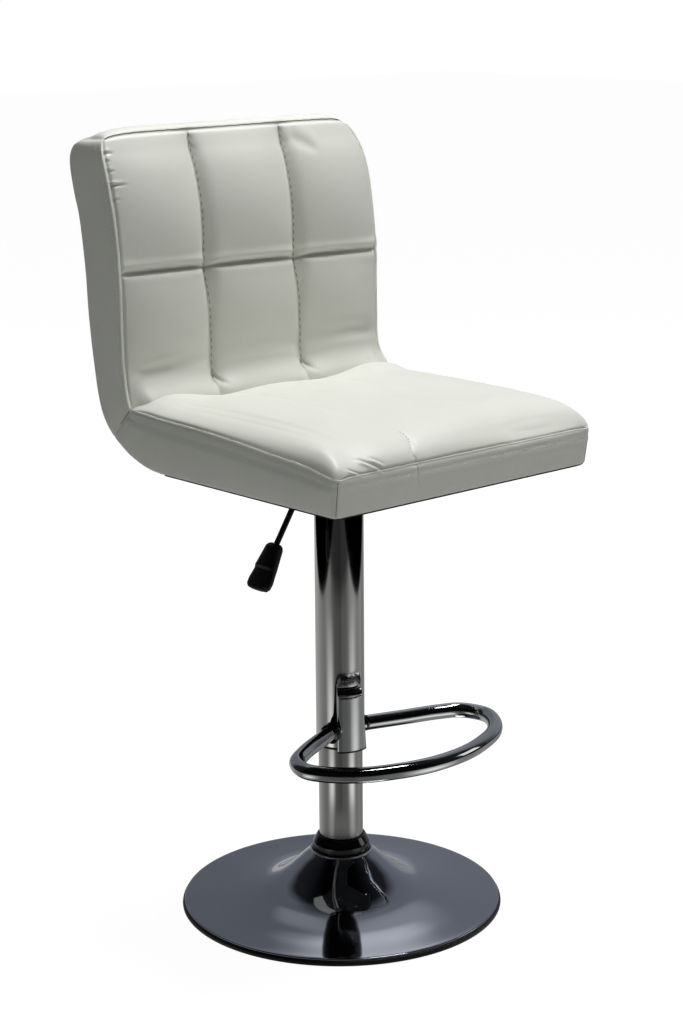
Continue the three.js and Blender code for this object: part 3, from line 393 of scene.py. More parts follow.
# Sand-cast iron under a thin primer: dark, matt and pitted.
CAST_IRON = Finish("sand_cast_iron_primed", "3c3d3f", "2b2c2e", 0.78, swing=0.08, patch_mm=15,
                   grain_mm=1.4, relief_mm=0.25, metallic=0.3)
# Powder coat on the seat plate: black with a fine even texture.
POWDER_COAT = Finish("powder_coated_steel_black", "1c1d1e", "161718", 0.5, patch_mm=30,
                     grain_mm=0.8, relief_mm=0.05)
# Matt black coat on the lever's rod: nearly no highlight.
LEVER_COAT = Finish("matt_black_coated_rod", "121213", "0c0c0d", 0.55, patch_mm=10, grain_mm=0.7,
                    relief_mm=0.02)
# Moulded polypropylene grip with a spark-eroded skin.
GRIP_PLASTIC = Finish("moulded_polypropylene_black", "141415", "0e0e0f", 0.52, patch_mm=14,
                      grain_mm=0.6, relief_mm=0.04, ior=1.49)
# Glossy moulded ABS collar on the neck.
COLLAR_PLASTIC = Finish("moulded_abs_gloss_black", "0e0e0f", "0a0a0b", 0.12, swing=0.03,
                        patch_mm=12, grain_mm=2.5, relief_mm=0.008, ior=1.54)
# Acetal bushes: black, smooth and slightly waxy.
BUSH_PLASTIC = Finish("turned_acetal_black", "181819", "121213", 0.4, patch_mm=10, grain_mm=0.8,
                      relief_mm=0.01, ior=1.48)
# Extruded rubber under the rim: black with a soft dull sheen.
FLOOR_RUBBER = Finish("extruded_rubber_black", "121213", "0d0d0e", 0.5, patch_mm=20, grain_mm=0.9,
                      relief_mm=0.03, ior=1.52)
# Moulded buffer and seal rubber: matt and a little dusty.
SOFT_RUBBER = Finish("moulded_nitrile_rubber", "1a1a1b", "222223", 0.8, patch_mm=8, grain_mm=0.7,
                     relief_mm=0.03, ior=1.52)
# Free-cutting brass: yellow with turning marks.
BRASS = Turned("turned_brass", "c7a45a", "b8924a", 0.28, patch_mm=8, relief_mm=0.008)
# Beech plywood, sanded and left raw: pale straw with darker fibres.
PLYWOOD = Laminated("sanded_beech_plywood", "d0b48a", "a98758", 0.72, grain_mm=1.2, relief_mm=0.06)
# Spun-bonded cloth under the seat: black fibres pressed flat.
DUST_CLOTH = Finish("spun_bonded_polypropylene_cloth", "1b1b1c", "262627", 0.9, patch_mm=6,
                    grain_mm=0.5, relief_mm=0.12)
# Weld metal at the footrest, chrome plated over: a lumpy mirror whose colour is painted far darker
# than chrome, as painted dark reflection.
DARKENED_WELD = Plated("plated_weld_bead_painted_dark", "4c4d4e", "2f3031", 0.2, swing=0.06, patch_mm=4, relief_mm=0.01)

CAD_FINISHES: dict[str, Finish] = {
    "plain_steel": PLAIN_STEEL, "zinc_screw": ZINC, "cast_iron": CAST_IRON,
    "black_rubber": SOFT_RUBBER, "rod_chrome": ROD_CHROME, "bush_plastic": BUSH_PLASTIC,
    "spring_tube": SPRING_PAINT, "brass": BRASS, "black_steel": POWDER_COAT,
    "plywood": PLYWOOD, "black_cloth": DUST_CLOTH, "base_chrome": DISH_CHROME,
    "floor_ring_rubber": FLOOR_RUBBER, "collar_plastic": COLLAR_PLASTIC,
    "stand_chrome": STAND_CHROME, "sleeve_chrome": SLEEVE_CHROME,
    "footrest_chrome": FOOTREST_CHROME, "lever_steel": LEVER_COAT, "grip_plastic": GRIP_PLASTIC,
    "rear_leather": REAR_LEATHER, "seat_leather": LEATHER,
}


# Shapes


def make_piece(name: str, shape: Mesh, finish: Finish, body: Body,
               replaces: Sequence[str] = (), sharp: float = SHARP_DEGREES) -> bpy.types.Object:
    """Makes one dressed mesh that rides on a body.

    Args:
        name: the piece's name.
        shape: its vertices in millimetres and its faces.
        finish: what it is made of.
        body: what it moves with.
        replaces: the CAD nodes that it stands for.
        sharp: edges turned by more degrees than this stay crisp.

    Returns:
        The object.
    """
    points, faces = shape
    mesh = bpy.data.meshes.new(name)
    mesh.from_pydata((np.asarray(points, float) * MM).tolist(), [], [list(f) for f in faces])
    mesh.shade_smooth()
    mesh.set_sharp_from_angle(angle=math.radians(sharp))
    mesh.materials.append(finish.material())
    piece = bpy.data.objects.new(name, mesh)
    bpy.context.scene.collection.objects.link(piece)
    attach(piece, body.value)
    if replaces:
        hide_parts(*replaces)
    LOG.info("%s: %d faces on %s", name, len(mesh.polygons), body.value)
    return piece


def rounded(outline: Sequence[Point], radius: float, steps: int = 4) -> np.ndarray:
    """Rounds every corner of a closed outline.

    Args:
        outline: the corners in order.
        radius: how far from each corner the round starts, at most.
        steps: how many spans each round has.

    Returns:
        The points of the rounded outline.
    """
    corners = [np.asarray(p, float) for p in outline]
    points = []
    for i, corner in enumerate(corners):
        before, after = corners[i - 1] - corner, corners[(i + 1) % len(corners)] - corner
        reach_in = min(radius, 0.45 * np.linalg.norm(before))
        reach_out = min(radius, 0.45 * np.linalg.norm(after))
        start = corner + before / np.linalg.norm(before) * reach_in
        end = corner + after / np.linalg.norm(after) * reach_out
        for k in range(steps + 1):
            t = k / steps
            points.append((1 - t) ** 2 * start + 2 * t * (1 - t) * corner + t * t * end)
    return np.array(points)


def lathe(outline: np.ndarray, sides: int) -> Mesh:
    """Turns a closed outline of radius and height round the column's axis.

    Args:
        outline: points of radius and height, in order.
        sides: how many spans go round.

    Returns:
        The vertices and the faces.
    """
    radius, height = outline.T
    if np.sum(radius * np.roll(height, -1) - np.roll(radius, -1) * height) < 0:
        radius, height = radius[::-1], height[::-1]
    angles = np.arange(sides) * math.tau / sides
    points = np.stack([
        np.outer(np.sin(angles), radius), np.outer(-np.cos(angles), radius),
        np.tile(height, (sides, 1)),
    ], axis=2).reshape(-1, 3)
    return points, ring_faces(sides, len(outline), wraps=True)


def ring_faces(rings: int, count: int, wraps: bool = False) -> list[list[int]]:
    """Joins rings of the same number of points by quads.

    Args:
        rings: how many rings there are.
        count: how many points each has.
        wraps: whether the last ring joins the first.

    Returns:
        The faces.
    """
    faces = []
    for s in range(rings if wraps else rings - 1):
        here, there = s * count, ((s + 1) % rings) * count
        for i in range(count):
            j = (i + 1) % count
            faces.append([here + i, there + i, there + j, here + j])
    return faces


def loft(rings: Sequence[np.ndarray]) -> Mesh:
    """Joins rings of the same number of points and closes both ends."""
    count, total = len(rings[0]), len(rings) * len(rings[0])
    ends = [list(range(count)), list(range(total - count, total))[::-1]]
    return np.concatenate(rings), ring_faces(len(rings), count) + ends


def sweep(path: np.ndarray, section: Callable[[float], np.ndarray],
          start_up: Point = (0, 0, 1)) -> Mesh:
    """Carries a section along a path without twisting it.

    Args:
        path: the path's points.
        section: gives the section's points at a share of the path, as sideways and up.
        start_up: the direction that is up at the path's start.

    Returns:
        The vertices and the faces.
    """
    tangents = np.gradient(path, axis=0)
    tangents /= np.linalg.norm(tangents, axis=1)[:, None]
    up = np.asarray(start_up, float)
    rings = []
    for i, (centre, along) in enumerate(zip(path, tangents)):
        up = up - along * float(up @ along)
        up /= np.linalg.norm(up)
        flat = section(i / (len(path) - 1))
        rings.append(centre + flat[:, :1] * np.cross(along, up) + flat[:, 1:] * up)
    return loft(rings)


def oval(half_wide: float, half_high: float, sides: int) -> np.ndarray:
    """Gives the points of an ellipse."""
    angles = np.arange(sides) * math.tau / sides
    return np.stack([half_wide * np.cos(angles), half_high * np.sin(angles)], axis=1)


def along_length(points: np.ndarray) -> np.ndarray:
    """Gives the length of a line up to each of its points."""
    steps = np.linalg.norm(np.diff(points, axis=0), axis=1)
    return np.concatenate([[0], np.cumsum(steps)])


def hermite(starts: Point, ends: Point, leave: Point, arrive: Point, t: np.ndarray) -> np.ndarray:
    """Runs a cubic span from one point to the next with the given ways at its ends."""
    return ((2 * starts - 2 * ends + leave + arrive) * t ** 3
            + (-3 * starts + 3 * ends - 2 * leave - arrive) * t ** 2 + leave * t + starts)


def bump_at(value: np.ndarray | float, centre: float, spread: float) -> np.ndarray:
    """Gives a smooth bump of height 1 that falls off over the spread."""
    return np.exp(-(((value - centre) / spread) ** 2))


def eased(value: np.ndarray | float, start: float, end: float) -> np.ndarray:
    """Rises smoothly from 0 at the start to 1 at the end."""
    t = np.clip((value - start) / (end - start), 0, 1)
    return t * t * (3 - 2 * t)


def quarter_round(distance: np.ndarray, radius: float) -> np.ndarray:
    """Rises in a quarter circle from 0 at the edge to 1 at the radius."""
    return np.sqrt(np.clip(1 - (1 - np.clip(distance / radius, 0, 1)) ** 2, 0, 1))


def pillow(share: np.ndarray, power: float = 0.62) -> np.ndarray:
    """Rises from 0 at both ends of 0 to 1 to its full height between them."""
    return np.sin(np.pi * np.clip(share, 0, 1)) ** power


class ProfileCurve:
    """A smooth curve in the stool's side view, read by share of its length."""

    def __init__(self, shares: Sequence[Point], shell: "Shell") -> None:
        """Runs a curve through points of the shell's side view.

        Args:
            shares: the points, as shares of the shell's depth and height.
            shell: the shell that gives the two.
        """
        knots = np.array([(shell.front_y + a * shell.depth, shell.underside_z + b * shell.height)
                          for a, b in shares])
        ends = np.concatenate([knots[:1], knots, knots[-1:]])
        t = np.linspace(0, 1, 60, endpoint=False)[:, None]
        spans = []
        for i in range(len(knots) - 1):
            p0, p1, p2, p3 = ends[i:i + 4]
            spans.append(hermite(p1, p2, (p2 - p0) / 2, (p3 - p1) / 2, t))
        self.points = np.concatenate(spans + [knots[-1:]])
        self.lengths = along_length(self.points)
        self.length = float(self.lengths[-1])

    def at(self, share: np.ndarray | float) -> np.ndarray:
        """Finds points of the curve.

        Args:
            share: where along its length they lie.

        Returns:
            The Y and the Z of each.
        """
        want = np.asarray(share, float) * self.length
        y = np.interp(want, self.lengths, self.points[:, 0])
        z = np.interp(want, self.lengths, self.points[:, 1])
        return np.stack([y, z], axis=-1)

    def share_where(self, axis: int, value: float) -> float:
        """Gives the share of the length at which Y (0) or Z (1) first passes a value."""
        first = int(np.argmax(self.points[:, axis] >= value))
        return float(self.lengths[first] / self.length)


# Upholstery


@dataclass
class Shell:
    """The L-shaped padded shell that seat and back share."""

    half_width: float = 197.0
    depth: float = 447.5
    front_y: float = -212.0
    underside_z: float = 546.0
    height: float = 364.0
    seam_x: float = 69.0
    side_bulge: float = 2.5
    corner_rise: float = 30.0
    outer_shares: tuple = (
        (0, 0), (0.3, 0), (0.6, 0), (0.65, 0), (0.7, 0.005), (0.75, 0.021), (0.802, 0.048),
        (0.866, 0.104), (0.903, 0.18), (0.925, 0.316), (0.94, 0.456), (0.948, 0.602),
        (0.966, 0.758), (0.984, 0.832), (0.9975, 0.904), (0.9985, 0.95), (0.984, 0.986),
        (0.955, 1.006),
    )
    seat_seam_shares: tuple = (
        (-0.0055, 0.1115), (0.05, 0.1185), (0.12, 0.1305), (0.228, 0.14), (0.337, 0.1525),
        (0.49, 0.1648), (0.626, 0.1703), (0.735, 0.1723), (0.771, 0.1786),
    )
    back_seam_shares: tuple = (
        (0.771, 0.1786), (0.7835, 0.217), (0.791, 0.261), (0.797, 0.335), (0.7985, 0.45),
        (0.8, 0.602), (0.8165, 0.765), (0.8395, 0.893), (0.863, 0.975), (0.877, 1.011),
    )

    def __post_init__(self) -> None:
        """Runs the three curves of the side view."""
        self.outer = ProfileCurve(self.outer_shares, self)
        self.seat_seam = ProfileCurve(self.seat_seam_shares, self)
        self.back_seam = ProfileCurve(self.back_seam_shares, self)
        self.corner = self.outer.share_where(1, self.underside_z + self.corner_rise)


class Spots(NamedTuple):
    """Places on a cushion.

    across is in millimetres from the middle. along is the share of the seam line, from the seat's
    front to the inner corner or from there to the back's top. level is 0 at the shell's outer side
    and 1 at the face.
    """

    across: np.ndarray
    along: np.ndarray
    level: np.ndarray


@dataclass
class Lattice:
    """The surface points of a box of columns across, stations along and levels through a pad."""

    columns: np.ndarray
    stations: np.ndarray
    levels: np.ndarray

    def __post_init__(self) -> None:
        """Numbers the surface points and joins them by quads that face outwards."""
        nx, ns, nl = len(self.columns), len(self.stations), len(self.levels)
        i, j, k = np.meshgrid(np.arange(nx), np.arange(ns), np.arange(nl), indexing="ij")
        shown = (i == 0) | (i == nx - 1) | (j == 0) | (j == ns - 1) | (k == 0) | (k == nl - 1)
        number = -np.ones((nx, ns, nl), int)
        number[shown] = np.arange(int(shown.sum()))
        self.across, self.along, self.level = self.spots = Spots(
            self.columns[i[shown]], self.stations[j[shown]], self.levels[k[shown]])
        faces = []
        for grid, flip in (
            (number[:, :, -1], False), (number[:, :, 0], True), (number[:, 0, :], False),
            (number[:, -1, :], True), (number[0, :, :], True), (number[-1, :, :], False),
        ):
            quads = np.stack([grid[:-1, :-1], grid[1:, :-1], grid[1:, 1:], grid[:-1, 1:]], axis=2)
            quads = quads.reshape(-1, 4)
            faces.extend((quads[:, ::-1] if flip else quads).tolist())
        self.faces = faces


def spaced(marks: Sequence[float], fine: float, coarse: float, reach: float) -> np.ndarray:
    """Spaces points that crowd together at the marks.

    Args:
        marks: the places in order that get a point each, the ends among them.
        fine: the spacing at a mark.
        coarse: the spacing away from one.
        reach: how far from a mark the spacing grows from fine to coarse.

    Returns:
        The places in order.
    """
    marks = sorted(marks)
    places = [marks[0]]
    for a, b in zip(marks, marks[1:]):
        dense = np.linspace(a, b, 400)
        near = np.minimum(dense - a, b - dense)
        weight = 1 / (fine + (coarse - fine) * np.clip(near / reach, 0, 1))
        total = np.concatenate([[0], np.cumsum((weight[1:] + weight[:-1]) / 2 * np.diff(dense))])
        count = max(int(round(total[-1])), 1)
        places.extend(np.interp(np.linspace(0, total[-1], count + 1)[1:], total, dense).tolist())
    return np.array(places)


@dataclass
class Cushion:
    """A padded form between the shell's outer profile and its seam line."""

    shell: Shell
    name: str = "cushion"
    node: str = "seat_cushion"
    start_fill: float = 0.9
    pressure: float = 4.0
    cap: float = 6.0
    frames: int = 20
    evening: int = 140
    fill: float = 0.8
    length: float = 1.0
    level_weight: float = 42.0
    finished: tuple = field(default=(), repr=False)

    def lattice(self) -> Lattice:
        """Gives the cushion's grid."""
        raise NotImplementedError

    def place(self, at: Spots, fill: float) -> np.ndarray:
        """Gives the points in millimetres, with the face's rise times the fill."""
        raise NotImplementedError

    def held(self, grid: Lattice) -> np.ndarray:
        """Gives how firmly each grid point is held, from 0 to 1."""
        raise NotImplementedError

    def details(self, at: Spots) -> np.ndarray:
        """Gives how far each point moves along its normal, in millimetres."""
        raise NotImplementedError

    def free_face(self, grid: Lattice) -> np.ndarray:
        """Tells which grid points lie on the face, away from its edges."""
        face = (grid.level > AT_EDGE) & (np.abs(grid.across) < 0.9999 * self.shell.half_width)
        return face & (grid.along > 1e-6) & (grid.along < 1 - 1e-6)

    @staticmethod
    def band_ridge(below: np.ndarray, swell: float) -> np.ndarray:
        """Gives a band's ridge below the lip, the top stitch's ditch and the swell under it."""
        return (0.3 * bump_at(below, 4, 2.5) - 0.45 * bump_at(below, 8.5, 1.6)
                + swell * bump_at(below, 13, 4))

    def drift(self, at: Spots) -> np.ndarray:
        """Gives a further move of each point as X, Y and Z, in millimetres."""
        return np.zeros((len(at.across), 3))

    def surface(self, across: np.ndarray, along: np.ndarray, level: np.ndarray | float,
                lift: float = 0.0) -> np.ndarray:
        """Finds places on the finished cushion.

        Args:
            across: millimetres from the middle.
            along: the share along the cushion.
            level: 0 at the outer side, 1 at the face.
            lift: how far off the surface the places are, in millimetres.

        Returns:
            The places in millimetres.
        """
        level = np.broadcast_to(np.asarray(level, float), np.shape(across))
        known, points, normals = self.finished
        places = []
        for a, s, v in zip(across, along, level):
            off = ((known.across - a) ** 2 + ((known.along - s) * self.length) ** 2
                   + ((known.level - v) * self.level_weight) ** 2)
            near = np.argpartition(off, 5)[:5]
            weight = 1 / (off[near] + 0.02)
            weight /= weight.sum()
            normal = weight @ normals[near]
            places.append(weight @ points[near] + normal / np.linalg.norm(normal) * lift)
        places = np.array(places)
        for _ in range(3):
            places[1:-1] = (places[:-2] + 2 * places[1:-1] + places[2:]) / 4
        return places

    def build(self) -> bpy.types.Object:
        """Builds, swells, refines and dresses the cushion.

        Returns:
            The finished piece.
        """
        grid = self.lattice()
        rest = self.place(grid.spots, self.start_fill)
        held = self.held(grid)
        swollen = self.swell(rest, grid.faces, held)
        moved = self.evened(swollen - rest, np.array(grid.faces), held)
        length = np.linalg.norm(moved, axis=1)
        moved *= (np.minimum(length, self.cap) / np.maximum(length, 1e-9))[:, None]
        shape = rest + moved
        LOG.info("%s swelled by up to %.1f mm", self.name, float(length.max()))
        piece = make_piece(self.name, (shape, grid.faces), LEATHER, Body.SEAT,
                           [self.node], sharp=180)
        for name, values in grid.spots._asdict().items():
            layer = piece.data.attributes.new(name, "FLOAT", "POINT")
            layer.data.foreach_set("value", np.asarray(values, np.float32))
        self.refine(piece)
        return piece

    def evened(self, moves: np.ndarray, faces: np.ndarray, held: np.ndarray) -> np.ndarray:
        """Evens moves out between neighbours, as foam under the cover does with its wrinkles.

        Args:
            moves: how far each vertex moves.
            faces: the faces' four vertices.
            held: how firmly each vertex is held.

        Returns:
            The evened moves.
        """
        here, there = faces.ravel(), np.roll(faces, -1, axis=1).ravel()
        count = np.bincount(here, minlength=len(moves)) + np.bincount(there, minlength=len(moves))
        moves = moves.copy()
        for _ in range(self.evening):
            for k in range(3):
                total = (np.bincount(here, moves[there, k], len(moves))
                         + np.bincount(there, moves[here, k], len(moves)))
                moves[:, k] += (total / count - moves[:, k]) * 0.6 * (1 - held)
        return moves

    def swell(self, rest: np.ndarray, faces: Sequence[Sequence[int]],
              held: np.ndarray) -> np.ndarray:
        """Blows the cushion up against its seams by cloth simulation.

        Args:
            rest: the vertices before it, in millimetres.
            faces: the faces.
            held: how firmly each vertex is held.

        Returns:
            The vertices after it, in millimetres.
        """
        scene = bpy.context.scene
        mesh = bpy.data.meshes.new("swelling")
        mesh.from_pydata((rest * MM).tolist(), [], list(faces))
        body = bpy.data.objects.new("swelling", mesh)
        scene.collection.objects.link(body)
        group = body.vertex_groups.new(name="held")
        for weight in np.unique(held):
            if weight > 0:
                group.add(np.flatnonzero(held == weight).tolist(), float(weight), "REPLACE")
        cloth = body.modifiers.new("cloth", "CLOTH")
        settings = cloth.settings
        settings.quality = 5
        settings.mass = 0.3
        settings.tension_stiffness = 20
        settings.compression_stiffness = 20
        settings.shear_stiffness = 8
        settings.bending_stiffness = 5
        settings.use_pressure = True
        settings.uniform_pressure_force = self.pressure
        settings.vertex_group_mass = "held"
        settings.effector_weights.gravity = 0
        cloth.point_cache.frame_end = self.frames
        for number in range(1, self.frames + 1):
            scene.frame_set(number)
        shown = body.evaluated_get(bpy.context.evaluated_depsgraph_get())
        points = np.zeros(len(shown.data.vertices) * 3, np.float32)
        shown.data.vertices.foreach_get("co", points)
        bpy.data.objects.remove(body)
        bpy.data.meshes.remove(mesh)
        scene.frame_set(1)
        return points.reshape(-1, 3).astype(float) / MM

    def refine(self, piece: bpy.types.Object) -> None:
        """Subdivides the piece once and works its seams, folds and puckers into it.

        Args:
            piece: the swollen cushion.
        """
        finer = piece.modifiers.new("finer", "SUBSURF")
        finer.levels = finer.render_levels = 1
        graph = bpy.context.evaluated_depsgraph_get()
        fine = bpy.data.meshes.new_from_object(piece.evaluated_get(graph))
        piece.modifiers.clear()
        piece.data = fine
        count = len(fine.vertices)
        columns = np.zeros((3, count), np.float32)
        for name, column in zip(Spots._fields, columns):
            fine.attributes[name].data.foreach_get("value", column)
        at = Spots(*columns.astype(float))
        points, normals = np.zeros(count * 3, np.float32), np.zeros(count * 3, np.float32)
        fine.vertices.foreach_get("co", points)
        fine.vertices.foreach_get("normal", normals)
        move, drift = self.details(at), self.drift(at)
        points = points.reshape(-1, 3) + (normals.reshape(-1, 3) * move[:, None] + drift) * MM
        fine.vertices.foreach_set("co", points.astype(np.float32).ravel())
        fine.shade_smooth()
        fine.update()
        fine.vertices.foreach_get("normal", normals)
        self.finished = (at, points / MM, normals.reshape(-1, 3).astype(float))


@dataclass
class SeatCushion(Cushion):
    """The seat's pad: a flat soft top that rolls down to a folded lip all round.

    Corners are the left and the right radius. A wave has its place across, spread and height. A
    pucker or a dent has its start and its end on the face, its width and its depth.
    """

    plateau_z: float = 619.0
    panel_crown: float = 3.0
    edge_radius: float = 25.0
    roll_length: float = 62.0
    roll_arc: float = 36.0
    welt_corners: tuple = (8.0, 10.5)
    lower_corners: tuple = (6.0, 15.0)
    front_rise: float = 2.0
    right_bulge: float = 1.5
    bulge_start: float = 16.0
    seam_shift: float = 13.0
    seam_shift_end: float = 32.0
    open_depth: float = 5.0
    fine_columns: tuple = (-184, -170, -155, -140, -125)
    waves: tuple = ((-150, 37, 11.0), (163, 44, 10.0), (-8, 42, 3.0))
    puckers: tuple = (((-134, 3), (-158, 24), 2.2, 1.9), ((-129, 10), (-142, 21), 1.8, 0.9),
                      ((-165, 3), (-180, 14), 1.7, 1.2))
    dents: tuple = (((-62, 196), (-12, 246), 16, 1.1), ((-74, 128), (32, 150), 20, 1.0),
                    ((60, 150), (118, 214), 18, 0.9))

    def lattice(self) -> Lattice:
        """Gives a grid that is fine at the lip, at the seams and over the front roll."""
        shell = self.shell
        self.length = length = shell.seat_seam.length
        half, seam = shell.half_width, shell.seam_x
        columns = spaced([-half, *self.fine_columns, -seam - self.seam_shift, -seam, seam, half],
                         1.3, 6.0, 16)
        arc = np.concatenate([np.arange(0, 30, 1.5), np.arange(30, 56, 2.6)])
        roll = self.roll_length * (1 - np.cos(arc / self.roll_arc))
        rest = spaced([roll[-1], length], 3.0, 5.5, 30)
        stations = np.concatenate([roll[:-1], rest]) / length
        return Lattice(columns, stations, np.linspace(0, 1, 11))

    def front_seam(self, distance: np.ndarray) -> np.ndarray:
        """Gives where the left seam lies at a distance from the front lip."""
        shift = self.seam_shift * (1 - eased(distance, 0, self.seam_shift_end))
        return -self.shell.seam_x - shift

    def place(self, at: Spots, fill: float) -> np.ndarray:
        """Places points of the seat.

        Args:
            at: where on the pad the points are.
            fill: how much of the face's rise is used.

        Returns:
            The points in millimetres.
        """
        across, along, level = at
        shell = self.shell
        distance = along * shell.seat_seam.length
        seam = shell.seat_seam.at(along)
        outer = shell.outer.at(along * shell.corner)
        out = seam - outer
        normal = out / np.linalg.norm(out, axis=1)[:, None]
        seam_half = shell.half_width - self.inset(distance, across, self.welt_corners)
        outer_half = shell.half_width - self.inset(distance, across, self.lower_corners)
        half = seam_half + (outer_half - seam_half) * (1 - level)
        x = drawn_in(across, half, shell)
        edge_share = np.abs(across) / shell.half_width
        bulge = shell.side_bulge + self.right_bulge * (across > 0)
        bulge = bulge * np.clip(distance / self.bulge_start, 0, 1)
        bulge = bulge * np.clip((1 - along) / 0.05, 0, 1) * np.sin(np.pi * (1 - level))
        x = x + np.sign(across) * bulge * (edge_share > AT_EDGE)
        fade = 1 - np.clip((along - 0.9) / 0.1, 0, 1) ** 2
        envelope = quarter_round(distance, self.roll_length)
        edge = quarter_round(seam_half - np.abs(x), self.edge_radius)
        full = 1 - ((1 - envelope) ** 2.2 + (1 - edge) ** 2.2) ** (1 / 2.2)
        crown = self.plateau_z - seam[:, 1]
        panels = self.panel_crown * panel_pillow(across, shell)
        rise = np.clip(full, 0, 1) * fade * (crown + panels) * fill * (level > AT_EDGE)
        # The underside is open inside its turned-in border, where the dust cover closes it.
        sunk = eased(shell.half_width - np.abs(across), 9, 11.5) * eased(outer[:, 0], -204.5, -202)
        rise += self.open_depth * sunk * (1 - eased(outer[:, 0], 72, 76)) * (level < 1 - AT_EDGE)
        yz = outer + out * level[:, None] + normal * rise[:, None]
        front = self.front_rise * np.sin(np.pi * level) * (1 - edge_share ** 4) * (along <= 0)
        return np.stack([x, yz[:, 0] - front, yz[:, 1]], axis=1)

    @staticmethod
    def inset(distance: np.ndarray, across: np.ndarray, radii: tuple[float, float]) -> np.ndarray:
        """Draws the sides in round the left and the right corner's radius."""
        left, right = (r * (1 - quarter_round(distance, r)) for r in radii)
        return np.where(across < 0, left, right)

    def held(self, grid: Lattice) -> np.ndarray:
        """Holds the underside, the lip and the bands, and the front seam a little less.

        Args:
            grid: the pad's grid.

        Returns:
            How firmly each grid point is held.
        """
        face = self.free_face(grid)
        distance = grid.along * self.shell.seat_seam.length
        seam = face & (np.abs(grid.across - self.front_seam(distance)) < 2.5) & (distance < 30)
        return np.where(seam, 0.5, np.where(face, 0.0, 1.0))

    def drift(self, at: Spots) -> np.ndarray:
        """Lifts the rear of the seat in waves where it is squeezed against the back.

        Args:
            at: where on the pad the points are.

        Returns:
            The lift of each point as X, Y and Z.
        """
        across, along, level = at
        rear = eased(along * self.length, self.length - 62, self.length - 8)
        rear = rear * eased(level, 0.9, 1.0)
        wave = sum(height * bump_at(across, place, spread) for place, spread, height in self.waves)
        move = np.zeros((len(across), 3))
        move[:, 2] = rear * wave
        return move

    def details(self, at: Spots) -> np.ndarray:
        """Works in the seams, the fold above the lip, the puckers and the soft dents.

        Args:
            at: where on the pad the points are.

        Returns:
            How far each point moves outwards, in millimetres.
        """
        across, along, level = at
        shell = self.shell
        distance = along * shell.seat_seam.length
        face = eased(level, 0.96, 1.0)
        inside = shell.half_width - np.abs(across)
        crown = self.plateau_z - shell.seat_seam.at(along)[:, 1]
        up_side = np.hypot(inside, crown * quarter_round(inside, self.edge_radius))
        up_front = np.hypot(distance, crown * quarter_round(distance, self.roll_length))
        move = -2.0 * bump_at(np.minimum(up_side, up_front), 2.4, 1.7) * face
        # Only the left seam stays drawn down, over the front roll. The right one is a faint dent.
        arc = self.roll_arc * np.arccos(np.clip(1 - distance / self.roll_length, 0, 1))
        off = across - self.front_seam(distance)
        fade = 1 - eased(distance, 16, 40)
        move -= face * fade * (1.5 * bump_at(off, 0, 1.5) + 0.9 * bump_at(off, 0, 7))
        move -= face * 0.5 * bump_at(across, shell.seam_x, 9) * (1 - eased(distance, 10, 60))
        for start, end, spread, depth in self.puckers:
            move += face * crease(across, arc, start, end, spread, depth)
        for start, end, spread, depth in self.dents:
            move += face * crease(across, distance, start, end, spread, depth)
        # The bands: a soft ridge under the top stitch, and a pull at the left seam's end.
        front = along <= 1e-6
        band = (level < AT_EDGE) & ((np.abs(across) > AT_EDGE * shell.half_width) | front)
        pull = -0.8 * bump_at(across, -shell.seam_x - self.seam_shift, 1.6)
        pull = pull * eased(level, 0.35, 0.8)
        ridge = self.band_ridge((1 - level) * 40, 0.55)
        return move + np.where(band, ridge + np.where(front, pull, 0), 0)


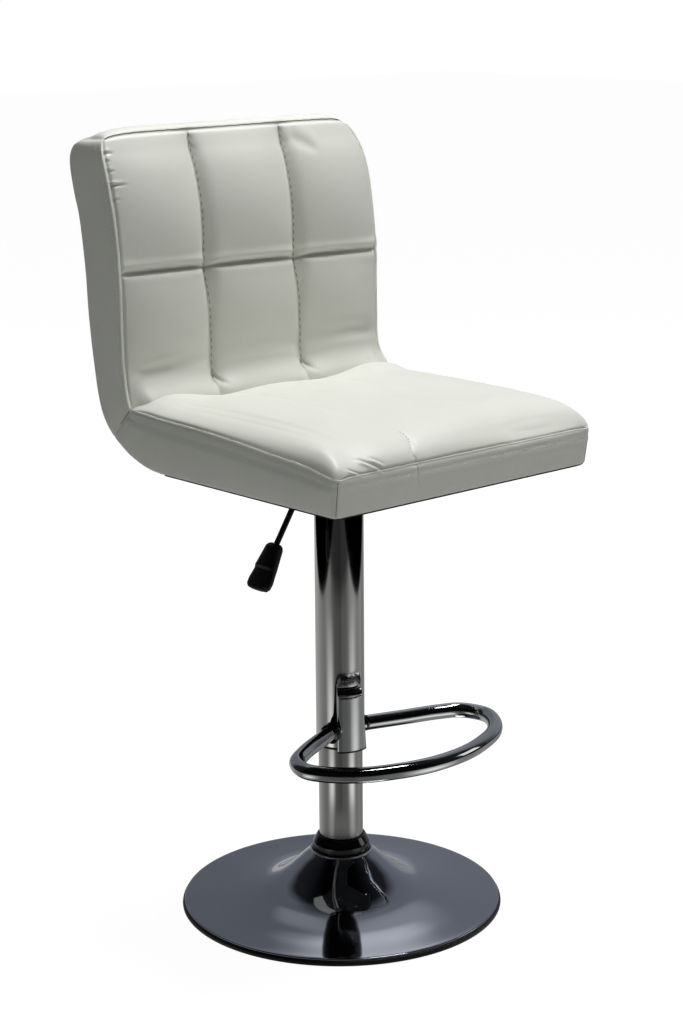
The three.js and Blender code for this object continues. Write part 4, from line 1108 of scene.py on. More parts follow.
@dataclass
class BackCushion(Cushion):
    """The back's pad: two rows of three puffed panels over a band, with rounded top corners.

    Corners are left and right. A pucker has its height, how far it runs in and its depth.
    """

    crown: float = 5.0
    panel_crown: float = 10.0
    corner_lengths: tuple = (30.0, 72.0)
    corner_insets: tuple = (9.0, 26.0)
    fold_z: float = 762.0
    fold_tilt: float = -0.0142
    fold_depth: float = 4.2
    top_round: float = 5.0
    top_rise: float = 11.0
    bulge_end: float = 60.0
    pull_pitch: float = 9.0
    roll_flare: float = 13.0
    seam_heights: tuple = (611, 628, 668, 714, 737, 755, 767, 802, 835, 870, 894, 914)
    seam_depths: tuple = (3, 4.5, 1, 2, 6, 11, 11, 6.5, 4, 4, 5, 0)
    fine_heights: tuple = (847, 863, 878, 889.5, 899)
    puckers: tuple = ((898, 15, 1.3), (889.5, 9, 0.9), (878.5, 12, 1.0), (863, 24, 2.0),
                      (847, 12, 0.9))
    dent: tuple = ((84, 900), (116, 884), 7, 1.3)

    @property
    def fold(self) -> float:
        """Gives the share of the seam line at which the fold runs across."""
        return self.shell.back_seam.share_where(1, self.fold_z)

    def lattice(self) -> Lattice:
        """Gives a grid that is fine at the edges, at the seams and at the fold."""
        shell = self.shell
        self.length = length = shell.back_seam.length
        half, seam = shell.half_width, shell.seam_x
        columns = spaced([-half, -seam, seam, half], 1.3, 6.0, 16)
        marks = [shell.back_seam.share_where(1, z) * length
                 for z in (634, self.fold_z, *self.fine_heights)]
        stations = spaced([0, *marks, length], 1.3, 5.5, 18) / length
        return Lattice(columns, stations, np.linspace(0, 1, 11))

    def place(self, at: Spots, fill: float) -> np.ndarray:
        """Places points of the back.

        Args:
            at: where on the pad the points are.
            fill: how much of the face's rise is used.

        Returns:
            The points in millimetres.
        """
        across, along, level = at
        shell = self.shell
        distance = (1 - along) * shell.back_seam.length
        seam = shell.back_seam.at(along)
        outer = shell.outer.at(shell.corner + (1 - shell.corner) * along)
        out = seam - outer
        normal = out / np.linalg.norm(out, axis=1)[:, None]
        rounding = self.top_round * (1 - quarter_round(distance, self.top_round))
        outer = outer + normal * rounding[:, None]
        out = seam - outer
        left, right = (i * (1 - quarter_round(distance, r))
                       for i, r in zip(self.corner_insets, self.corner_lengths))
        half = shell.half_width - np.where(across < 0, left, right)
        x = drawn_in(across, half, shell)
        edge_share = np.abs(across) / shell.half_width
        bulge = shell.side_bulge * np.clip(distance / self.bulge_end, 0, 1)
        bulge = bulge * np.clip(along / 0.05, 0, 1) * np.sin(np.pi * (1 - level))
        x = x + np.sign(across) * bulge * (edge_share > AT_EDGE)
        row = self.row(across, along)
        edge = pillow(0.5 + 0.5 * across / shell.half_width) ** 0.6
        puff = panel_pillow(across, shell)
        envelope = self.crown * pillow(along) ** 0.5 * edge * pillow(row) ** 0.65
        envelope = envelope * (0.3 + 0.7 * puff)
        panels = self.panel_crown * puff * pillow(row) ** 0.9
        deep = np.interp(seam[:, 1], self.seam_heights, self.seam_depths)
        in_fold = bump_at(seam[:, 1], self.fold_z + self.fold_tilt * across, 3.2)
        in_fold = in_fold * eased(shell.half_width - np.abs(across), 0, 12)
        sink = deep * bump_at(np.abs(across), shell.seam_x, 8)
        sink = np.maximum(sink, self.fold_depth * in_fold)
        rise = ((envelope + panels) * fill - sink) * (level > AT_EDGE)
        yz = outer + out * level[:, None] + normal * rise[:, None]
        top = self.top_rise * np.sin(np.pi * (0.14 + 0.73 * level)) ** 0.7
        top = top * (1 - edge_share ** 14) ** 0.5
        top = top - 1.5 * eased(-across, 140, shell.half_width)
        top = top * (1 - np.clip(distance / 20, 0, 1)) ** 2
        return np.stack([x, yz[:, 0], yz[:, 1] + top], axis=1)

    def row(self, across: np.ndarray, along: np.ndarray) -> np.ndarray:
        """Gives the share within the lower or the upper row of panels."""
        fold = self.fold + self.fold_tilt * across / self.shell.back_seam.length
        return np.where(along <= fold, along / fold, (along - fold) / (1 - fold))

    def held(self, grid: Lattice) -> np.ndarray:
        """Holds the rear side, the bands, the lip, the seams and the fold.

        Args:
            grid: the pad's grid.

        Returns:
            How firmly each grid point is held.
        """
        seam = np.abs(np.abs(grid.across) - self.shell.seam_x) < 0.01
        tilted = self.fold + self.fold_tilt * grid.across / self.length
        fold = np.abs(grid.along - tilted) * self.length < 0.7
        return np.where(self.free_face(grid) & ~seam & ~fold, 0.0, 1.0)

    def details(self, at: Spots) -> np.ndarray:
        """Works in the seams, the fold's roll, the puckers, the tucks and the dent.

        Args:
            at: where on the pad the points are.

        Returns:
            How far each point moves outwards, in millimetres.
        """
        across, along, level = at
        shell = self.shell
        z = shell.back_seam.at(along)[:, 1]
        distance = (1 - along) * shell.back_seam.length
        face = eased(level, 0.96, 1.0)
        inside = shell.half_width - np.abs(across)
        move = -2.0 * bump_at(np.minimum(inside, distance + 0.4), 2.0, 1.5) * face
        pull = 0.5 + 0.5 * np.cos(math.tau * (z - self.fold_z) / self.pull_pitch)
        for side, _ in SIDES:
            place = side * shell.seam_x
            groove = 1.5 * bump_at(across, place, 1.3) + 0.7 * bump_at(across, place, 5)
            move -= face * groove * eased(distance, 0, 9)
            move -= face * 0.6 * pull * bump_at(across, place + 2.2, 1.8)
        above = z - self.fold_z - self.fold_tilt * across
        roll = 2.2 * bump_at(above, 8.0, 4.5) - 2.4 * bump_at(above, 0, 1.5)
        sag = 0.8 * bump_at(above, -9, 6)
        move += face * (roll + sag) * (0.55 + 0.45 * eased(inside, 1, 12))
        # Puckers that run in from the left lip of the upper row, and a dent at its right.
        for height, reach, depth in self.puckers:
            fade = 1 - eased(inside, 3, reach)
            wave = -bump_at(z, height, 1.4) + 0.6 * bump_at(z, height + 3.4, 1.8)
            move += face * np.where(across < 0, depth * wave * fade, 0)
        move += face * crease(across, z, *self.dent)
        # The lower row settles in a roll above the seat, with a hollow over it.
        hollow_z = 652 - 7 * bump_at(across, -150, 60) + 5 * bump_at(across, 150, 50)
        hollow = 4.2 * bump_at(across, -150, 42) + 4.0 * bump_at(across, 154, 38) + 1.6
        free = eased(inside, 3, 26)
        move -= face * hollow * bump_at(z, hollow_z + 2, 9) * (0.3 + 0.7 * free)
        seamed = 1 - 0.35 * bump_at(np.abs(across), shell.seam_x, 9)
        flare = np.maximum(free, 0.55 * (across > 0))
        move += face * self.roll_flare * (1 - eased(z, 612, 641)) * flare * seamed
        for side, _ in SIDES:
            away = np.abs(across - side * shell.seam_x)
            tuck = bump_at(away - (637 - z) * 0.75, 0, 1.8) * (z < 638) * eased(z, 616, 626)
            move -= face * 2.4 * tuck
            move += face * 1.2 * bump_at(away, 0, 5) * bump_at(z, 621, 6)
        band = (level < AT_EDGE) & (np.abs(across) > AT_EDGE * shell.half_width)
        return move + np.where(band, self.band_ridge((1 - level) * 55, 0.4), 0)


def panel_pillow(across: np.ndarray, shell: Shell) -> np.ndarray:
    """Puffs each of the three panels between the seams and the edges."""
    edges = np.array([-shell.half_width, -shell.seam_x, shell.seam_x, shell.half_width])
    which = np.clip(np.searchsorted(edges, across, side="right") - 1, 0, 2)
    return pillow((across - edges[which]) / (edges[which + 1] - edges[which]))


def drawn_in(across: np.ndarray, half: np.ndarray, shell: Shell) -> np.ndarray:
    """Draws the outer panels in and leaves the middle one.

    Args:
        across: millimetres from the middle.
        half: the new half width at each place.
        shell: the shell that gives the old one and the seams.

    Returns:
        The new places across.
    """
    outside = np.maximum(np.abs(across) - shell.seam_x, 0)
    scale = (half - shell.seam_x) / (shell.half_width - shell.seam_x)
    return np.sign(across) * (np.minimum(np.abs(across), shell.seam_x) + outside * scale)


def crease(u: np.ndarray, v: np.ndarray, start: Point, end: Point, spread: float,
           depth: float) -> np.ndarray:
    """Draws a crease between two places, with a softer ridge on one side of it.

    Args:
        u: the first coordinate of each point.
        v: the second coordinate.
        start: where the crease starts.
        end: where it ends.
        spread: how wide it is.
        depth: how deep it is.

    Returns:
        How far each point moves outwards.
    """
    a, b = np.asarray(start, float), np.asarray(end, float)
    length = float(np.linalg.norm(b - a))
    way = (b - a) / length
    along = (u - a[0]) * way[0] + (v - a[1]) * way[1]
    off = -(u - a[0]) * way[1] + (v - a[1]) * way[0]
    fade = eased(along, -0.2 * length, 0.2 * length)
    fade = fade * (1 - eased(along, 0.7 * length, 1.15 * length))
    ridge = 0.7 * bump_at(off, 1.9 * spread, 1.3 * spread)
    return fade * depth * (-bump_at(off, 0, spread) + ridge)


@dataclass
class Lips:
    """The folded edges of the vinyl that stand out along the seams of seat and back.

    A stitch is its pitch, its length and half its thickness. Lifts are how far a strip's middle
    lies off the leather.
    """

    seat: SeatCushion
    back: BackCushion
    corner_run: float = 17.0
    corner_turns: tuple = (80, 66, 52, 40, 28, 18, 9)
    seat_lip_halves: tuple = (1.0, 1.3)
    back_lip_halves: tuple = (1.9, 1.25)
    panel_stitch: tuple = (9.0, 4.8, 0.68)
    front_stitch: tuple = (5.2, 2.6, 0.42)
    band_stitch: tuple = (5.0, 2.6, 0.42)
    band_lift: float = 0.18
    seat_band_levels: tuple = (0.79, 0.755)
    back_band_level: float = 0.905
    hem_halves: tuple = (1.3, 1.2)
    hem_inset: float = 1.4
    hem_drop: float = 1.1
    hem_end_y: float = 76.0
    border_low_z: float = 545.2
    border_high_z: float = 545.7
    border_share: float = 0.055
    border_centre: tuple = (0.0, -66.0)

    def seat_path(self, level: float, lift: float) -> np.ndarray:
        """Runs from the rear left corner round the front to the rear right corner.

        Args:
            level: 0 at the seat's underside, 1 at its lip.
            lift: how far the line lies off the leather.

        Returns:
            The line's points.
        """
        half, length = self.seat.shell.half_width, self.seat.length
        turn = self.corner_run * (1 - np.cos(np.radians(self.corner_turns)))
        down = np.concatenate([np.linspace(0.995 * length, 20, 90), turn]) / length
        front = np.linspace(-half, half, 100)
        across = np.concatenate([np.full(len(down), -half), front, np.full(len(down), half)])
        along = np.concatenate([down, np.zeros(len(front)), down[::-1]])
        return self.seat.surface(across, along, level, lift)

    def back_path(self, side: int, level: float, lift: float, start: float = 0.01,
                  end: float = 0.985) -> np.ndarray:
        """Runs up one side of the back, from the inner corner to the top corner.

        Args:
            side: -1 for the left, 1 for the right.
            level: 0 at the back's rear, 1 at its lip.
            lift: how far the line lies off the leather.
            start: the share of the side at which it starts.
            end: the share at which it ends.

        Returns:
            The line's points.
        """
        along = np.linspace(start, end, 110)
        edge = np.full(len(along), side * self.back.shell.half_width)
        return self.back.surface(edge, along, level, lift)

    def add(self, name: str, path: np.ndarray, section: Callable[[float], np.ndarray],
            up: Point, finish: Finish) -> None:
        """Adds one swept strip.

        Args:
            name: the strip's name.
            path: its centre line.
            section: its section at a share of the path.
            up: the direction away from the leather at the path's start.
            finish: what it is made of.
        """
        make_piece(name, sweep(path, section, up), finish, Body.SEAT)

    def sew(self, name: str, path: np.ndarray, stitch: tuple, up: Point, finish: Finish) -> None:
        """Adds one row of stitches.

        Args:
            name: the row's name.
            path: the seam's points.
            stitch: its stitches' pitch, length and half thickness.
            up: the direction away from the leather at the path's start.
            finish: the thread.
        """
        make_piece(name, stitch_row(path, *stitch, up), finish, Body.SEAT)

    def build(self) -> None:
        """Builds the lips, the tight seams and all rows of stitches."""
        flat, wide = oval(*self.seat_lip_halves, 10), oval(*self.back_lip_halves, 10)
        self.add("seat_lip", self.seat_path(1.0, 0.1), lambda s: flat, (0, 0, 1), LIT_LIP_LEATHER)
        for side, name in SIDES:
            self.add(f"back_lip_{name}", self.back_path(side, 1.0, 0.0),
                     lambda s: wide * (1 - 0.55 * eased(s, 0.93, 1.0)), (0, -1, 0), LIT_LIP_LEATHER)
        self.build_tight_seams()
        self.build_panel_stitches()
        self.build_band_stitches()
        self.build_hem()

    def build_tight_seams(self) -> None:
        """Lays thin dark strips of painted shade in the seams along the back's top, down the front
        corners and at the inner corners.
        """
        half = self.seat.shell.half_width
        across = np.linspace(-half + 2, half - 6, 150)
        path = self.back.surface(across, np.full(len(across), 1.0), 1.0, 0.1)
        self.add("back_top_seam_painted_shade", path, lambda s: oval(0.4, 0.4, 6), (0, -1, 0), SEAM_SHADOW)
        levels = np.linspace(0.03, 0.93, 26)
        for side, name in SIDES:
            edge = np.full(len(levels), side * half)
            corner = np.full(len(levels), 1.2 / self.seat.length)
            path = self.seat.surface(edge, corner, levels, 0.05)
            self.add(f"front_corner_seam_painted_shade_{name}", path, lambda s: oval(0.3, 0.24, 6),
                     (side, -1, 0), SEAM_SHADOW)
            corner = np.full(len(levels), 0.004)
            path = self.back.surface(edge, corner, 0.45 + 0.52 * levels, 0.05)
            self.add(f"inner_corner_seam_painted_shade_{name}", path, lambda s: oval(0.5, 0.4, 6),
                     (side, 0, 0), SEAM_SHADOW)

    def build_panel_stitches(self) -> None:
        """Sews the back's two upright seams and the short seam over the seat's front."""
        for side, name in SIDES:
            along = np.linspace(0.06, 0.99, 420)
            place = np.full(len(along), side * self.back.shell.seam_x + 1.1)
            self.sew(f"back_panel_stitches_{name}", self.back.surface(place, along, 1.0, 0.15),
                     self.panel_stitch, (0, -1, 0), SHADED_DITCH_THREAD)
        distance = np.linspace(1.5, 44, 60)
        path = self.seat.surface(self.seat.front_seam(distance), distance / self.seat.length, 1.0,
                                 0.05)
        self.sew("seat_front_stitches", path, self.front_stitch, (0, 0, 1), SHADED_DITCH_THREAD)

    def build_band_stitches(self) -> None:
        """Sews two rows of top stitches on the seat's band and one on each of the back's."""
        for row, level in enumerate(self.seat_band_levels):
            self.sew(f"seat_band_stitches_{row + 1}", self.seat_path(level, self.band_lift),
                     self.band_stitch, (0, 0, 1), LIT_BAND_THREAD)
        for side, name in SIDES:
            path = self.back_path(side, self.back_band_level, self.band_lift, 0.03, 0.9)
            self.sew(f"back_band_stitches_{name}", path, self.band_stitch, (0, -1, 0),
                     LIT_BAND_THREAD)

    def build_hem(self) -> None:
        """Lays the dust cloth's turned edge and its border under the rim of the bands."""
        path = self.seat_path(0.0, 0.0)
        path = path[path[:, 1] < self.hem_end_y]
        path[:, 0] -= np.sign(path[:, 0]) * self.hem_inset * eased(np.abs(path[:, 0]), 150, 190)
        path[:, 1] += self.hem_inset * (1 - eased(path[:, 1], -205, -190))
        path[:, 2] -= self.hem_drop
        self.add("dust_cloth_hem", path, lambda s: oval(*self.hem_halves, 8), (0, 0, 1),
                 DUST_CLOTH)
        # The border is turned under and stapled round the sunk panel of the dust cover.
        low, high, centre = self.border_low_z, self.border_high_z, np.array(self.border_centre)
        rings = []
        for inward, z in ((0.0, low), (0.0, high), (self.border_share, high),
                          (self.border_share, low)):
            ring = path.copy()
            ring[:, :2] = centre + (ring[:, :2] - centre) * (1 - inward)
            ring[:, 2] = z
            rings.append(ring)
        make_piece("dust_cloth_border", loft(np.stack(rings, axis=1)), DUST_CLOTH, Body.SEAT)


def stitch_row(path: np.ndarray, pitch: float, length: float, radius: float,
               up: Point) -> Mesh:
    """Lays short rounded stitches along a path.

    Args:
        path: the seam's points.
        pitch: the distance from stitch to stitch.
        length: the length of one stitch.
        radius: half its thickness.
        up: the direction away from the leather at the path's start.

    Returns:
        The vertices and faces of all the stitches.
    """
    run = along_length(path)
    section = oval(radius, radius, 6)
    all_points, all_faces, used = [], [], 0
    start = pitch / 2
    while start + length < run[-1]:
        places = start + np.linspace(0, length, 6)
        line = np.stack([np.interp(places, run, path[:, k]) for k in range(3)], axis=1)
        points, faces = sweep(line, lambda s: section * (0.35 + 0.65 * pillow(s, 0.5)), up)
        all_points.append(points)
        all_faces.extend([[i + used for i in f] for f in faces])
        used += len(points)
        start += pitch
    return np.concatenate(all_points), all_faces


@dataclass
class RearPanel:
    """The padded panel that closes the outside of the shell, set in from its edges."""

    shell: Shell
    half_width: float = 188.0
    start_y: float = 78.0
    end_margin: float = 13.0
    thickness: float = 4.0
    crown: float = 1.6
    crown_width: float = 40.0
    edge_round: float = 5.0
    edge_drop: float = 1.4

    def build(self) -> None:
        """Builds the panel with its rounded edge."""
        shell = self.shell
        start = shell.outer.share_where(0, self.start_y)
        end = 1 - self.end_margin / shell.outer.length
        half = self.half_width
        columns = spaced([-half, half], 1.2, 9.0, 14)
        stations = start + (end - start) * spaced([0, 1], 0.004, 0.02, 0.05)
        grid = Lattice(columns, stations, np.array([0.0, 0.5, 1.0]))
        line = shell.outer.at(grid.along)
        ahead = shell.outer.at(np.clip(grid.along + 0.002, 0, 1))
        behind = shell.outer.at(np.clip(grid.along - 0.002, 0, 1))
        run = ahead - behind
        run /= np.linalg.norm(run, axis=1)[:, None]
        inward = np.stack([-run[:, 1], run[:, 0]], axis=1)
        length = shell.outer.length
        edge = np.minimum(half - np.abs(grid.across),
                          np.minimum(grid.along - start, end - grid.along) * length)
        round_off = self.edge_drop * (1 - quarter_round(edge, self.edge_round))
        puff = self.crown * quarter_round(edge, self.crown_width)
        depth = self.thickness * grid.level + np.where(grid.level < 0.25, round_off - puff, 0)
        yz = line + inward * depth[:, None]
        points = np.stack([grid.across, yz[:, 0], yz[:, 1]], axis=1)
        make_piece("rear_panel", (points, grid.faces), REAR_LEATHER, Body.SEAT,
                   ["rear_cover"])


# Column


@dataclass
class Column:
    """The two plated tubes and the guide's end ring between them."""

    stand_radius: float = 26.3
    stand_wall: float = 2.0
    sleeve_radius: float = 28.9
    sleeve_wall: float = 1.0
    sleeve_bottom: float = 203.0
    sleeve_top: float = 515.7
    guide_flange: float = 2.6
    guide_length: float = 30.0
    stand_chamfer: float = 0.5
    sleeve_chamfer: float = 0.35
    guide_chamfer: float = 0.6
    gap: float = 0.3
    sides: int = 128

    def tube(self, outer: float, wall: float, bottom: float, top: float, chamfer: float) -> Mesh:
        """Turns a tube with softened ends.

        Args:
            outer: its outer radius.
            wall: its wall.
            bottom: where it starts.
            top: where it ends.
            chamfer: how far its edges are rounded.

        Returns:
            The vertices and the faces.
        """
        inner = outer - wall
        outline = [(inner, bottom), (outer, bottom), (outer, top), (inner, top)]
        return lathe(rounded(outline, chamfer), self.sides)

    def build(self) -> None:
        """Builds the tubes and the guide."""
        low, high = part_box("stand_tube")
        make_piece("lower_tube", self.tube(self.stand_radius, self.stand_wall, low.z / MM,
                                           high.z / MM, self.stand_chamfer),
                   STAND_CHROME, Body.BASE, ["stand_tube"])
        make_piece("upper_tube", self.tube(self.sleeve_radius, self.sleeve_wall,
                                           self.sleeve_bottom, self.sleeve_top,
                                           self.sleeve_chamfer),
                   SLEEVE_CHROME, Body.SEAT, ["sleeve"])
        inner = self.stand_radius + self.gap
        foot, top = self.sleeve_bottom - self.gap, self.sleeve_bottom + self.guide_length
        bore = self.sleeve_radius - self.sleeve_wall - self.gap
        outer, low = self.sleeve_radius, foot - self.guide_flange
        outline = [(inner, low), (outer, low), (outer, foot), (bore, foot), (bore, top),
                   (inner, top)]
        make_piece("guide_ring", lathe(rounded(outline, self.guide_chamfer), self.sides),
                   BUSH_PLASTIC, Body.SEAT, ["sleeve_guide"])


# Footrest


@dataclass
class Footrest:
    """The bent tube loop, the pressed bracket that holds it and the welds between them."""

    tube_radius: float = 9.1
    centre_z: float = 226.0
    right_half: float = 144.0
    left_half: float = 141.5
    reach: float = 181.0
    sleeve_radius: float = 28.9
    face_radius: float = 34.4
    left_angle: float = -49.0
    right_top_angle: float = 11.0
    right_foot_angle: float = 24.0
    bottom_z: float = 200.0
    shoulder_z: float = 266.0
    top_z: float = 277.0
    sheet: float = 2.5
    weld_sink: float = 0.4
    # The black strip of painted shade under the bracket's foot runs between these heights off its
    # lowest section.
    shade_strip_top: float = -0.1
    shade_strip_foot: float = -2.2
    front_shares: tuple = ((0, 1), (0.23, 0.985), (0.46, 0.935), (0.74, 0.83), (0.93, 0.68),
                           (1, 0.545))
    right_shares: tuple = ((0.93, 0.375), (0.76, 0.3), (0.44, 0.215), (0.13, 0.13))
    left_shares: tuple = ((0.93, 0.4), (0.75, 0.3), (0.44, 0.185), (0.17, 0.1))

    def path(self) -> np.ndarray:
        """Runs from the right end round the front to the left end.

        Returns:
            The centre line's points in millimetres.
        """
        right = self.right_shares[::-1] + self.front_shares[::-1]
        left = self.front_shares[1:] + self.left_shares
        knots = [(x * self.right_half, -y * self.reach) for x, y in right]
        knots += [(-x * self.left_half, -y * self.reach) for x, y in left]
        flat = centripetal(np.array(knots), 18)
        run = along_length(flat)
        want = np.linspace(0, run[-1], 200)
        return np.stack([np.interp(want, run, flat[:, 0]), np.interp(want, run, flat[:, 1]),
                         np.full(len(want), self.centre_z)], axis=1)

    def build(self) -> None:
        """Builds the loop, the bracket and the welds."""
        path = self.path()
        section = oval(self.tube_radius, self.tube_radius, 36)
        points, faces = sweep(path, lambda s: section)
        for ring, way in ((slice(0, len(section)), path[0] - path[1]),
                          (slice(-len(section), None), path[-1] - path[-2])):
            points[ring] = self.trimmed(points[ring], way / np.linalg.norm(way))
        make_piece("foot_loop", (points, faces), FOOTREST_CHROME, Body.SEAT,
                   ["footrest_loop"])
        self.build_bracket()
        self.build_weld("loop_weld_left", path[::-1], 11.0, 3.6, 3)
        self.build_weld("loop_weld_right", path, 1.0, 0.9, 5)

    def trimmed(self, ring: np.ndarray, way: np.ndarray) -> np.ndarray:
        """Slides a ring's points along the tube until they meet the upper tube.

        Args:
            ring: the end ring.
            way: the direction out of the tube's end.

        Returns:
            The moved points.
        """
        radius = self.sleeve_radius + 0.2
        a = way[0] ** 2 + way[1] ** 2
        b = 2 * (ring[:, 0] * way[0] + ring[:, 1] * way[1])
        c = ring[:, 0] ** 2 + ring[:, 1] ** 2 - radius ** 2
        inner = np.clip(b * b - 4 * a * c, 0, None)
        slide = (-b - np.sqrt(inner)) / (2 * a)
        return ring + way * np.clip(slide, -14, 14)[:, None]

    def build_weld(self, name: str, path: np.ndarray, reach: float, height: float,
                   seed: int) -> None:
        """Builds up a lumpy collar of weld metal round an end of the loop.

        Args:
            name: the weld's name.
            path: the loop's centre line, from the end that is welded.
            reach: how far the weld's middle lies from the upper tube, in millimetres.
            height: how far it stands out from the loop's tube.
            seed: picks the weld's own lumps.
        """
        rng = np.random.default_rng(seed)
        away = np.linalg.norm(path[:, :2], axis=1)
        middle = int(np.argmax(away > self.sleeve_radius + reach))
        axis = path[middle + 1] - path[middle]
        axis /= np.linalg.norm(axis)
        side = np.cross(axis, (0, 0, 1.0))
        side /= np.linalg.norm(side)
        turns = np.arange(18) * math.tau / 18
        rings = []
        for step in np.linspace(-1, 1, 7):
            swell = height * math.sqrt(max(1 - step * step, 0))
            radius = self.tube_radius - 0.6 + swell * (1 + rng.uniform(-0.45, 0.35, len(turns)))
            centre = path[middle] + axis * step * (reach * 0.55 + 2.4)
            rings.append(centre + np.outer(radius * np.cos(turns), side)
                         + np.outer(radius * np.sin(turns), (0, 0, 1.0)))
        points, faces = loft(rings)
        # No point reaches through the upper tube's wall.
        out = np.linalg.norm(points[:, :2], axis=1)
        points[:, :2] *= (np.maximum(out, self.sleeve_radius - self.weld_sink) / out)[:, None]
        make_piece(name, (points, faces), DARKENED_WELD, Body.SEAT, sharp=24)

    def build_bracket(self) -> None:
        """Lofts the pressed bracket from level sections that lean in at the shoulder."""
        heights = np.concatenate([
            [self.bottom_z, self.bottom_z + 0.5],
            np.linspace(self.bottom_z + 4, self.shoulder_z - 6, 14),
            np.linspace(self.shoulder_z - 4, self.top_z, 14)])
        rings = [self.bracket_section(z) for z in heights]
        make_piece("foot_bracket", self.folded(rings), FOOTREST_CHROME, Body.SEAT,
                   ["footrest_bracket"])
        # A thin black strip under the bracket's foot: painted shadow and painted dark reflection
        # along the sheet's lower edge.
        foot = [rings[0] + (0, 0, z) for z in (self.shade_strip_foot, self.shade_strip_top)]
        make_piece("bracket_foot_painted_shade_strip", self.folded(foot), BUSH_PLASTIC, Body.SEAT)

    @staticmethod
    def folded(rings: Sequence[np.ndarray]) -> Mesh:
        """Joins sections of bent sheet, each of which runs out on one side and back on the other.

        Args:
            rings: the sections' points, from below.

        Returns:
            The vertices and the faces.
        """
        count = len(rings[0])
        faces = [f[::-1] for f in ring_faces(len(rings), count)]
        for base, step in ((0, -1), ((len(rings) - 1) * count, 1)):
            for i in range(count // 2 - 1):
                back = base + count - 1 - i
                faces.append([base + i, base + i + 1, back - 1, back][::step])
        return np.concatenate(rings), faces

    def bracket_section(self, z: float) -> np.ndarray:
        """Gives the sheet's closed outline at a height, outer side first.

        Args:
            z: the height.

        Returns:
            The outline's points.
        """
        foot = self.sleeve_radius + 0.3
        share = min(max((z - self.bottom_z) / (self.shoulder_z - self.bottom_z), 0), 1)
        right = self.right_foot_angle + (self.right_top_angle - self.right_foot_angle) * share
        rise = min(max((z - self.shoulder_z + 2) / (self.top_z - self.shoulder_z + 2), 0), 1)
        lean = 1 - math.sqrt(max(1 - rise ** 2.2, 0))
        face = self.face_radius - (self.face_radius - foot - self.sheet * 0.5) * lean
        outer = self.open_section(foot, face, self.left_angle, right)
        turn = math.degrees(self.sheet / self.face_radius)
        inner_face = max(face - self.sheet, foot + 0.4 * (face - foot))
        inner = self.open_section(foot, inner_face, self.left_angle + turn, right - turn)
        flat = np.concatenate([outer, inner[::-1]])
        return np.concatenate([flat, np.full((len(flat), 1), z)], axis=1)

    @staticmethod
    def open_section(foot: float, face: float, left: float, right: float) -> np.ndarray:
        """Runs out from the tube, across the face and back in, with rounded bends.

        Args:
            foot: the radius at which the sheet meets the tube.
            face: the radius of the face.
            left: the angle of the left end in degrees.
            right: the angle of the right end.

        Returns:
            The line's points as X and Y.
        """
        bend = min(2.6, 0.8 * (face - foot))
        turn = math.degrees(bend / face)
        steps = [(foot + (face - bend - foot) * t, left)
                 for t in np.linspace(0, 1, 3, endpoint=False)]
        steps += [(face - bend + bend * math.sin(t), left + turn * (1 - math.cos(t)))
                  for t in np.linspace(0, math.pi / 2, 6, endpoint=False)]
        middle = [(face, a) for a in np.linspace(left + turn, right - turn, 22)]
        mirrored = [(r, right - (a - left)) for r, a in reversed(steps)]
        polar = np.array(steps + middle + mirrored)
        angles = np.radians(polar[:, 1])
        return np.stack([polar[:, 0] * np.sin(angles), -polar[:, 0] * np.cos(angles)], axis=1)


def centripetal(knots: np.ndarray, steps: int) -> np.ndarray:
    """Runs a centripetal curve through knots.

    Args:
        knots: the points that it passes.
        steps: the spans between two of them.

    Returns:
        The curve's points.
    """
    ends = np.concatenate([[2 * knots[0] - knots[1]], knots, [2 * knots[-1] - knots[-2]]])
    points = []
    for i in range(len(knots) - 1):
        p0, p1, p2, p3 = ends[i:i + 4]
        d0, d1, d2 = (np.linalg.norm(b - a) ** 0.5 for a, b in ((p0, p1), (p1, p2), (p2, p3)))
        t1 = ((p1 - p0) / d0 - (p2 - p0) / (d0 + d1) + (p2 - p1) / d1) * d1
        t2 = ((p2 - p1) / d1 - (p3 - p1) / (d1 + d2) + (p3 - p2) / d2) * d1
        t = np.linspace(0, 1, steps, endpoint=False)[:, None]
        points.append(hermite(p1, p2, t1, t2, t))
    return np.concatenate(points + [knots[-1:]])


# Lever


